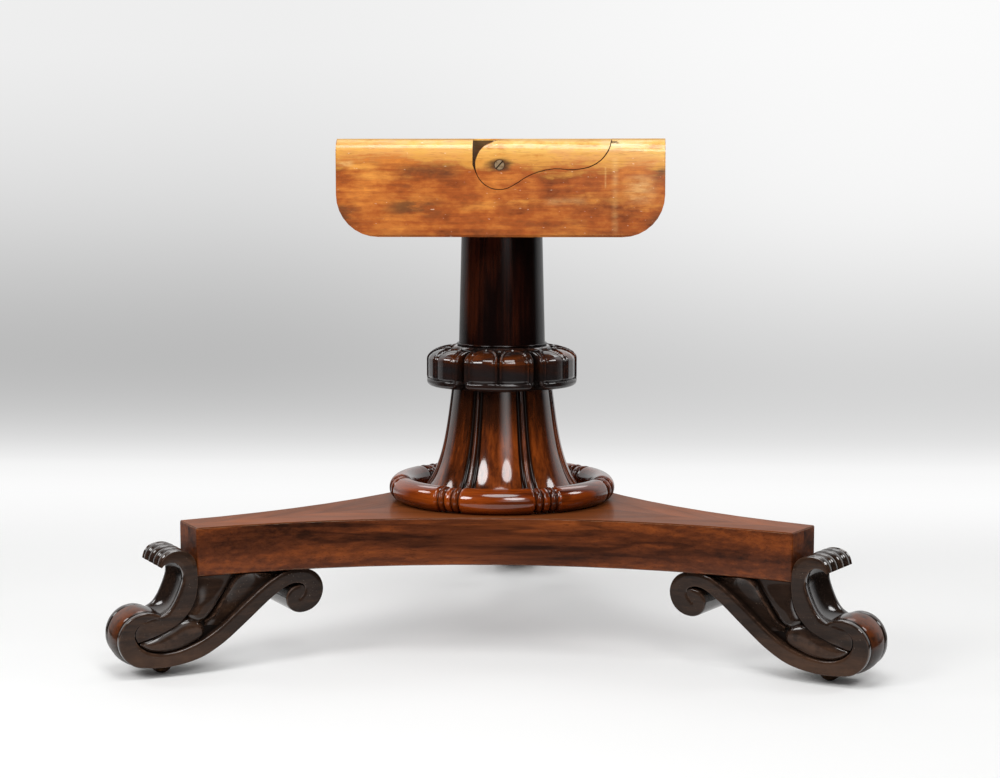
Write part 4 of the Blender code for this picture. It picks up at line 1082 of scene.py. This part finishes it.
def softwood(name, arm=False):
    """Oiled softwood, pale along its upper edge and browned below, with golden patches, smudges, dents,
    pale scratches and a dark halo round the pivot screw. The pale upper edge is partly painted light
    from above, the recess behind the arm holds painted shade, and the notch at the arm's right end a
    painted shadow."""
    finish = Finish(name)
    x, y, z = finish.axes(finish.place)
    u, w = x - (BLOCK_LOW.x + BLOCK_HIGH.x) / 2, BLOCK_HIGH.z - z
    depth_in = (y - BLOCK_LOW.y) * (BLOCK_HIGH.y - y) / (BLOCK_HIGH.y - BLOCK_LOW.y)
    face = depth_in.below(0.010, 0.022)
    place = finish.joined(x, y - AXIS.y, z)
    bowed = finish.noise(place, (3, 8, 14), detail=2)
    shift = (0, 0, 0.4 if arm else 0)
    grain = finish.noise(place, (9, 60, 170), shift, detail=5, rough=0.7)
    bands = ((z * 620 + bowed * 30).sine() * 0.5 + 0.5) ** 2.0
    fibre = finish.noise(place, (60, 700, 900), detail=2)
    patch = finish.noise(place, (13, 13, 24), (2, 4, 1), detail=6, rough=0.68)
    mottle = grain * 0.40 + patch * 1.25 - bands * 0.04
    browned = finish.ramp(
        mottle - 0.32,
        [(0.25, (0.15, 0.030, 0.005)), (0.46, (0.36, 0.082, 0.012)), (0.76, (0.70, 0.240, 0.038))],
    )
    lit_pale_tone = finish.ramp(
        mottle - 0.30,
        [(0.30, (0.58, 0.220, 0.032)), (0.47, (0.86, 0.535, 0.135)), (0.66, (0.95, 0.770, 0.420))],
    )
    wander = (patch - 0.5) * 0.085 + (grain - 0.5) * 0.040
    # Pale towards the top: the wood's own tone, and painted light from above on the upper edge.
    pale = (w + wander - u * (0.0 if arm else 0.03)).below(0.004, 0.042)
    finish.colour = finish.mix(pale, browned, lit_pale_tone)
    finish.coat(pale * (1 - pale) * 2.4, HONEY)
    smear = finish.noise(place, (18, 18, 60), (1, 7, 3), detail=5, rough=0.7)
    gold = finish.noise(place, (5, 6, 34), (7, 2, 5), detail=4, rough=0.6)
    gilded = gold.above(0.50, 0.72) * patch.above(0.36, 0.60) * 0.75
    finish.coat(gilded, GOLD)
    broken = smear.above(0.34, 0.58) * face
    finish.coat(smear.above(0.56, 0.76) * w.above(0.03, 0.06) * 0.45, SMUDGE_AND_SHADE_BROWN)
    for left, right, top, bottom, soft, depth in SMUDGES_AND_NOTCH_SHADOW:
        dark_mark = patch_of(u, w, left, right, top, bottom, soft) * broken
        finish.coat(dark_mark * depth, SMUDGE_AND_SHADE_BROWN)
    dx = x - (SCREW_LOW.x + SCREW_HIGH.x) / 2
    dz = z - (SCREW_LOW.z + SCREW_HIGH.z) / 2
    ring = (dx * dx * 0.25 + dz * dz) ** 0.5
    halo = (ring + (smear - 0.5) * 0.014).below(0.0045, 0.0110)
    finish.coat(halo * 0.9, GREASE)
    if not arm:
        # The recess behind the arm is painted dark: painted shade, with dirt.
        bend = x.math("MAXIMUM", UPPER_ROUND - w, 0.0)
        eased = UPPER_ROUND - (UPPER_ROUND * UPPER_ROUND - bend * bend) ** 0.5
        inside = (depth_in - eased).above(0.0025, 0.0040) * abs(u).below(0.206, 0.210)
        inside = inside * w.above(0.0015, 0.0030) * (z - BLOCK_LOW.z).above(0.036, 0.040)
        finish.coat(inside * 0.92, RECESS_SHADE_AND_DIRT)
        half = (BLOCK_HIGH.x - BLOCK_LOW.x) / 2
        aside, rise = y - AXIS.y, z - BLOCK_LOW.z + 0.03
        years = (aside * aside + rise * rise) ** 0.5 * 1500
        arcs = ((years + bowed * 8).sine() * 0.5 + 0.5) ** 2.0
        # Darker towards the block's ends and its bottom.
        corner = abs(u).above(half - 0.040, half) + (BLOCK_LOW.z + 0.035 - z) / 0.035
        finish.coat(corner.above(0.50, 1.3) * smear.above(0.30, 0.60) * 0.60, SMUDGE_AND_SHADE_BROWN)
        ends = abs(u).above(half - 0.0012, half - 0.0006)
        finish.coat(ends * (arcs * 0.5 + 0.25), END_GRAIN)
        edge = w.below(0.0008, 0.0022) * u.above(-0.145, -0.135) * u.below(0.145, 0.155)
        finish.coat(edge * face * broken * 0.7, EDGE_DIRT)
        for left, right, top, bottom, soft, depth in SCRATCHES:
            worn = patch_of(u, w, left, right, top, bottom, soft) * smear.below(0.36, 0.66)
            finish.coat(worn * face * depth, PALE_SCRATCH)
    nick = finish.noise(place, (120, 110, 420), (9, 1, 0), detail=2).above(0.70, 0.75)
    finish.coat(nick * 0.6, PALE_NICK)
    finish.coat(fibre.above(0.54, 0.74) * 0.45, FIBRE_BROWN)
    rubbed = ARM_EDGE if arm else PALE_WEAR
    broken = 0.9 if arm else smear.above(0.40, 0.60) * 0.5
    finish.coat(finish.mark("rub") * broken, rubbed)
    bare = finish.normal()[2].above(0.80, 0.97)
    finish.coat(bare * (grain * 0.6 + 0.30), BARE_TOP)
    height = grain * 0.5 + fibre * 0.35 - nick * 0.8
    return finish.feed(
        Base_Color=finish.colour,
        Roughness=0.62 - grain * 0.28 + bare * 0.2,
        Normal=finish.bump(height, 0.30, 0.0010),
        Specular_IOR_Level=0.15,
        Coat_Weight=(patch * 0.8 + 0.6) * (1 - bare),
        Coat_Roughness=0.14,
    )


def bare_beech(name):
    finish = Finish(name)
    grain = finish.noise(grain_way(finish, "upright"), (9, 240, 240), detail=3)
    fleck = finish.noise(finish.place, (300, 300, 60), detail=1).above(0.6, 0.7)
    finish.colour = finish.ramp(grain, [(0.3, (0.30, 0.15, 0.06)), (0.7, (0.55, 0.32, 0.15))])
    finish.coat(fleck * 0.5, (0.22, 0.10, 0.04))
    return finish.feed(
        Base_Color=finish.colour, Roughness=0.55 + grain * 0.2, Normal=finish.bump(grain, 0.3, 0.0005)
    )


def aged_metal(name, clean, stained, rough, grime, stain_from=0.40, slot=False):
    """Old metal with stains, fine scratches and dirt, and for a pivot screw a slot painted dark as
    painted shade.
    """
    finish = Finish(name)
    stain = finish.noise(finish.place, (220, 220, 220), detail=4, rough=0.65)
    scratch = finish.noise(finish.place, (1800, 160, 400), detail=2)
    finish.colour = finish.mix(stain.above(stain_from, stain_from + 0.25), clean, stained)
    finish.coat(stain.above(0.62, 0.75) * grime, METAL_GRIME)
    if slot:
        # The slot's floor is painted dark: painted shade.
        y = finish.axes(finish.place)[1]
        below = AXIS.y - SCREW_LOW.y - abs(y - AXIS.y)
        finish.coat(below.above(0.0003, 0.0008) * 0.95, SLOT_SHADE)
    return finish.feed(
        Base_Color=finish.colour,
        Metallic=0.9 - stain.above(0.58, 0.72) * 0.6,
        Roughness=stain * 0.3 + scratch * 0.15 + rough,
        Normal=finish.bump(stain * 0.6 + scratch * 0.4, 0.25, 0.0003),
    )


# Marks on the block's front, smudges and one painted shadow: left and right of its middle, depth below
# its top, softness and strength
SMUDGES_AND_NOTCH_SHADOW = [
    (-0.132, -0.056, 0.036, 0.052, 0.016, 0.75),
    (-0.146, -0.080, 0.080, 0.102, 0.018, 0.80),
    (-0.222, -0.190, 0.086, 0.110, 0.016, 0.80),
    (0.205, 0.222, 0.040, 0.056, 0.008, 1.00),
    (0.030, 0.130, 0.108, 0.118, 0.014, 0.45),
    (0.105, 0.160, 0.078, 0.088, 0.016, 0.50),
    # This last mark is a painted shadow in the notch at the arm's right end.
    (0.1465, 0.1565, -0.010, 0.0070, 0.002, 1.60),
]
SCRATCHES = [
    (0.1384, 0.1400, 0.038, 0.066, 0.0012, 0.35),
    (0.1490, 0.1550, 0.026, 0.128, 0.0040, 0.25),
    (-0.214, -0.196, 0.030, 0.036, 0.0060, 0.55),
    (0.170, 0.200, 0.050, 0.084, 0.0140, 0.45),
    (0.060, 0.110, 0.080, 0.086, 0.0100, 0.35),
]

# The platform's top is painted lighter: painted light and painted sheen from above.
POLISHED_PLATFORM = rosewood(
    "platform_rosewood", "sides",
    ((0.020, 0.006, 0.0025), (0.092, 0.023, 0.007), (0.250, 0.060, 0.012)),
    0.28, figure=(2.0, 5, 24), contrast=0.75, worn=(0.42, 0.26, 0.15), painted_top_light=(0.33, 0.092, 0.024),
    tooled=0.3, blur=0.15,
)
# Its shade is a painted shadow over the stem's top, under the collar.
POLISHED_STEM = rosewood(
    "stem_rosewood", "upright",
    ((0.010, 0.0025, 0.0005), (0.086, 0.0160, 0.0020), (0.340, 0.068, 0.008)),
    1.0, figure=(2, 11, 11), contrast=0.6, seed=1.7, wear=0.25, tooled=2.2,
    shade=(STEM_HIGH.z - 0.085, STEM_HIGH.z - 0.020, 0.8),
)
POLISHED_RING = rosewood(
    "ring_rosewood", "round",
    ((0.020, 0.0034, 0.0004), (0.130, 0.0180, 0.0010), (0.330, 0.060, 0.005)),
    1.0, contrast=0.8,
)
POLISHED_SHAFT = rosewood(
    "shaft_rosewood", "upright",
    ((0.0015, 0.0004, 0.0003), (0.0055, 0.0011, 0.0006), (0.0380, 0.0065, 0.0015)),
    0.42, figure=(2.5, 9, 9), contrast=0.7, tooled=0.3, blur=0.12,
)
# The collar's dark tone is greyish, and its shade darkens the lower rail: painted shade with a grey
# painted sheen.
POLISHED_COLLAR = rosewood(
    "collar_rosewood", "round",
    ((0.0125, 0.0100, 0.0100), (0.034, 0.008, 0.002), (0.150, 0.032, 0.005)),
    1.0, wear=0.12, shade=(COLLAR_LOW.z + 0.036, COLLAR_LOW.z + 0.012, 0.9),
)
# The feet's worn tone also paints the blade's ridge pale as a painted highlight, and their toe tone
# paints light on the toe lobe's top.
CARVED_FEET = rosewood(
    "foot_rosewood", "outward",
    ((0.010, 0.0055, 0.0038), (0.022, 0.0120, 0.0080), (0.055, 0.0270, 0.0150)),
    1.0, contrast=0.45, wear=0.35, worn=(0.15, 0.080, 0.050), dust=0.35, toe=(0.150, 0.034, 0.006),
    tooled=1.4, blur=0.12,
)
BLOCK_WOOD = softwood("block_softwood")
ARM_WOOD = softwood("arm_softwood", True)
BEECH = bare_beech("wedge_beech")
STEEL = aged_metal("screw_steel", (0.52, 0.47, 0.40), (0.30, 0.24, 0.18), 0.34, 0.5, 0.52)
PIVOT = aged_metal("pivot_steel", (0.38, 0.27, 0.16), (0.20, 0.12, 0.06), 0.42, 0.6, 0.42, True)
# The castors' brass is near black-brown: tarnish, and painted shade under the feet.
BRASS = aged_metal("castor_brass", (0.13, 0.065, 0.024), (0.040, 0.019, 0.009), 0.40, 0.85, 0.25)


def dress():
    foot = scroll_foot()
    for name, turn in FEET.items():
        copy = foot.copy()
        copy.transform(Matrix.Translation(AXIS) @ Matrix.Rotation(math.radians(turn), 4, "Z"))
        shape = smoothed(copy, 38)
        piece(f"carved_foot_{name}", shape, "stand", CARVED_FEET, "dark_rosewood", f"foot_{name}")
    piece("carved_collar", lappet_collar(), "stand", POLISHED_COLLAR, "dark_rosewood", "lappet_collar")
    piece("panelled_stem", fluted_stem(), "stand", POLISHED_STEM, "rosewood", "fluted_stem")
    piece("tied_ring", bead_ring(), "stand", POLISHED_RING, "rosewood", "bead_ring")
    piece("polished_shaft", plain_shaft(), "stand", POLISHED_SHAFT, "dark_rosewood", "column_shaft")
    board = softened("platform", EASED_PLATFORM, PLATFORM_CORNER)
    piece("veneered_platform", board, "stand", POLISHED_PLATFORM, "rosewood", "platform", flat=True)
    block = softened("bearer_block", EASED_BLOCK)
    piece("softwood_block", block, "stand", BLOCK_WOOD, "pine", "bearer_block", flat=True)
    for name in ("front", "rear"):
        node = f"{name}_tilt_arm"
        arm = softened(node, EASED_ARM)
        piece(f"{name}_softwood_arm", arm, f"{name}_arm", ARM_WOOD, "pine_arm", node, flat=True)
    for name, node in NODES.items():
        if node.hide_render:
            continue
        finish, slot = STEEL, "steel"
        if name.startswith(("castor_plate", "castor_horn", "castor_wheel")):
            finish, slot = BRASS, "brass"
        if "pivot" in name:
            finish = PIVOT
        if "dowel" in name or "wedge" in name:
            finish, slot = BEECH, "beech"
        node.data.materials.clear()
        node.data.materials.append(finish)


def direction(azimuth, height):
    """A way out from the column: degrees round from the front, and degrees up."""
    turn, rise = math.radians(azimuth), math.radians(height)
    return Vector((math.sin(turn) * math.cos(rise), -math.cos(turn) * math.cos(rise), math.sin(rise)))


def seen(finish):
    """1 where the camera, a reflection or a clear material looks at the surface."""
    rays = ("Is Camera Ray", "Is Glossy Ray", "Is Transmission Ray")
    camera, glossy, clear = (finish.add("ShaderNodeLightPath", output=ray) for ray in rays)
    return camera.math("MINIMUM", camera + glossy + clear, 1.0)


def shown(finish, colour, share, clear):
    """Mixes the finish with a plain glow of one colour for a share of what is seen, and lets a clear
    share of it be looked through."""
    glow = finish.add("ShaderNodeEmission", None, {"Color": colour, "Strength": 1.0})
    body = Wire(finish, finish.shader.outputs[0])
    mixed = finish.add("ShaderNodeMixShader", None, {0: share, 1: body, 2: glow})
    gone = finish.add("ShaderNodeBsdfTransparent")
    mixed = finish.add("ShaderNodeMixShader", None, {0: clear, 1: mixed, 2: gone})
    end = finish.tree.nodes["Material Output"]
    finish.tree.links.new(mixed.socket, end.inputs["Surface"])
    return finish.material


def sweep():
    """The pale floor and the paper that curves up behind it. Under the toes it glows less, so that
    their shadows stay dark. The paper's glow carries painted shade, darkest in its bend."""
    bm = bmesh.new()
    line = [(SWEEP_FRONT, 0.0), (SWEEP_BACK, 0.0)]
    for a in np.linspace(0.1, math.pi / 2, 14):
        line.append((SWEEP_BACK + SWEEP_BEND * math.sin(a), SWEEP_BEND - SWEEP_BEND * math.cos(a)))
    line.append((SWEEP_BACK + SWEEP_BEND, SWEEP_TOP))
    verts = [bm.verts.new((-SWEEP_HALF, y, z)) for y, z in line]
    folds = [bm.edges.new(pair) for pair in zip(verts, verts[1:])]
    made = bmesh.ops.extrude_edge_only(bm, edges=folds)["geom"]
    other = [item for item in made if isinstance(item, bmesh.types.BMVert)]
    bmesh.ops.translate(bm, vec=(2 * SWEEP_HALF, 0, 0), verts=other)
    bmesh.ops.recalc_face_normals(bm, faces=bm.faces)
    for face in bm.faces:
        if face.normal.y > 0.01 or face.normal.z < -0.01:
            face.normal_flip()
    holder = linked("sweep", smoothed(to_mesh(bm, "sweep"), 60))
    paper = Finish("sweep_paper")
    x, y, z = paper.axes(paper.place)
    fibre = paper.noise(paper.place, (60, 60, 60), detail=3)
    # Painted shade on the paper: darker in its bend and on the left.
    tones = []
    for side in (1, 2):
        stops = [(row[0] / BACKDROP_RUN, (row[side],) * 3) for row in BACKDROP]
        tones.append(paper.ramp((y + z) / BACKDROP_RUN, stops, "CARDINAL"))
    colour = paper.mix(x.above(-1.0, 1.0), *tones)
    paper.feed(Base_Color=(0.90, 0.90, 0.89, 1), Roughness=fibre * 0.1 + 0.75, Specular_IOR_Level=0.1)
    far = x.math("MAXIMUM", y.above(0.15, 1.1), reach_from(AXIS, x, y).above(1.3, 2.4))
    share = seen(paper) * (far * (1 - FLOOR_GLOW) + FLOOR_GLOW)
    for turn in FEET.values():
        toe = AXIS + Matrix.Rotation(math.radians(turn), 3, "Z") @ Vector((SOCKET_AT, 0, 0))
        share = share * reach_from(toe, x, y).above(*TOE_SHADE)
    behind = paper.add("ShaderNodeNewGeometry", output="Backfacing")
    holder.data.materials.append(shown(paper, colour, share, behind))


def flag():
    """A dark cloth round the front of the studio and on the floor there, with a glowing card on it that
    paints a pale reflection. Only reflections see it."""
    bm = bmesh.new()
    bmesh.ops.create_uvsphere(bm, u_segments=72, v_segments=24, radius=FLAG_RADIUS)
    gone = []
    for face in bm.faces:
        middle = face.calc_center_median()
        turn = abs(math.degrees(math.atan2(middle.x, -middle.y)))
        if middle.z < 0 or turn > FLAG_HALF:
            gone.append(face)
    bmesh.ops.delete(bm, geom=gone, context="FACES")
    turn = Matrix.Rotation(math.radians(-FLAG_HALF), 3, "Z")
    ends = [bm.verts.new(turn @ Vector((0, -reach, 0))) for reach in (FLAG_FLOOR_FROM, FLAG_RADIUS)]
    ring = bm.edges.new(ends)
    bmesh.ops.spin(
        bm,
        geom=[*ends, ring],
        cent=(0, 0, 0),
        axis=(0, 0, 1),
        angle=math.radians(2 * FLAG_HALF),
        steps=46,
    )
    bmesh.ops.translate(bm, vec=(AXIS.x, AXIS.y, FLAG_LIFT), verts=bm.verts)
    holder = linked("flag", to_mesh(bm, "flag"))
    for ray in ("camera", "diffuse", "transmission", "shadow"):
        setattr(holder, f"visible_{ray}", False)
    cloth = Finish("flag_cloth")
    x, y, z = cloth.axes(cloth.place)
    turn = bearing(x, y)
    wide = turn.above(*CARD_LEFT) * turn.below(*CARD_RIGHT)
    card = wide * z.above(*CARD_LOW) * z.below(*CARD_HIGH)
    weave = cloth.noise(cloth.place, (300, 300, 300), detail=1)
    tone = card * CARD_GLOW + weave * 0.004 + 0.010
    glow = cloth.add("ShaderNodeCombineColor", None, {0: tone, 1: tone, 2: tone})
    ends = abs(turn).above(math.radians(FLAG_HALF - FLAG_FADE), math.radians(FLAG_HALF))
    holder.data.materials.append(shown(cloth, glow, 1.0, ends))


def studio():
    sweep()
    flag()
    world = bpy.data.worlds.new("studio")
    world.use_nodes = True
    tree = world.node_tree
    back = tree.nodes["Background"]
    back.inputs["Color"].default_value = SKY
    path = tree.nodes.new("ShaderNodeLightPath")
    diffuse = tree.nodes.new("ShaderNodeMapRange")
    tree.links.new(path.outputs["Is Diffuse Ray"], diffuse.inputs["Value"])
    diffuse.inputs["To Min"].default_value = 1.0
    diffuse.inputs["To Max"].default_value = WORLD_FILL
    tree.links.new(diffuse.outputs[0], back.inputs["Strength"])
    bpy.context.scene.world = world

    target = Vector((AXIS.x, AXIS.y, LAMP_AIM))
    for name, azimuth, height, away, size, power in LAMPS:
        lamp = bpy.data.lights.new(name, "AREA")
        lamp.shape = "DISK"
        lamp.size = size
        lamp.energy = power
        holder = linked(name, lamp)
        way = direction(azimuth, height)
        holder.location = target + way * away
        holder.rotation_euler = way.to_track_quat("Z", "Y").to_euler()
        holder.visible_camera = False

    lens = bpy.data.cameras.new("camera")
    lens.lens = CAMERA_LENS
    lens.clip_end = 50
    camera = linked("camera", lens)
    camera.location = AXIS + Vector(CAMERA_FROM_AXIS)
    camera.rotation_euler = (math.radians(90 - CAMERA_PITCH), 0, math.radians(CAMERA_YAW))
    bpy.context.scene.camera = camera
    bpy.context.scene.view_settings.view_transform = "Standard"


dress()
studio()
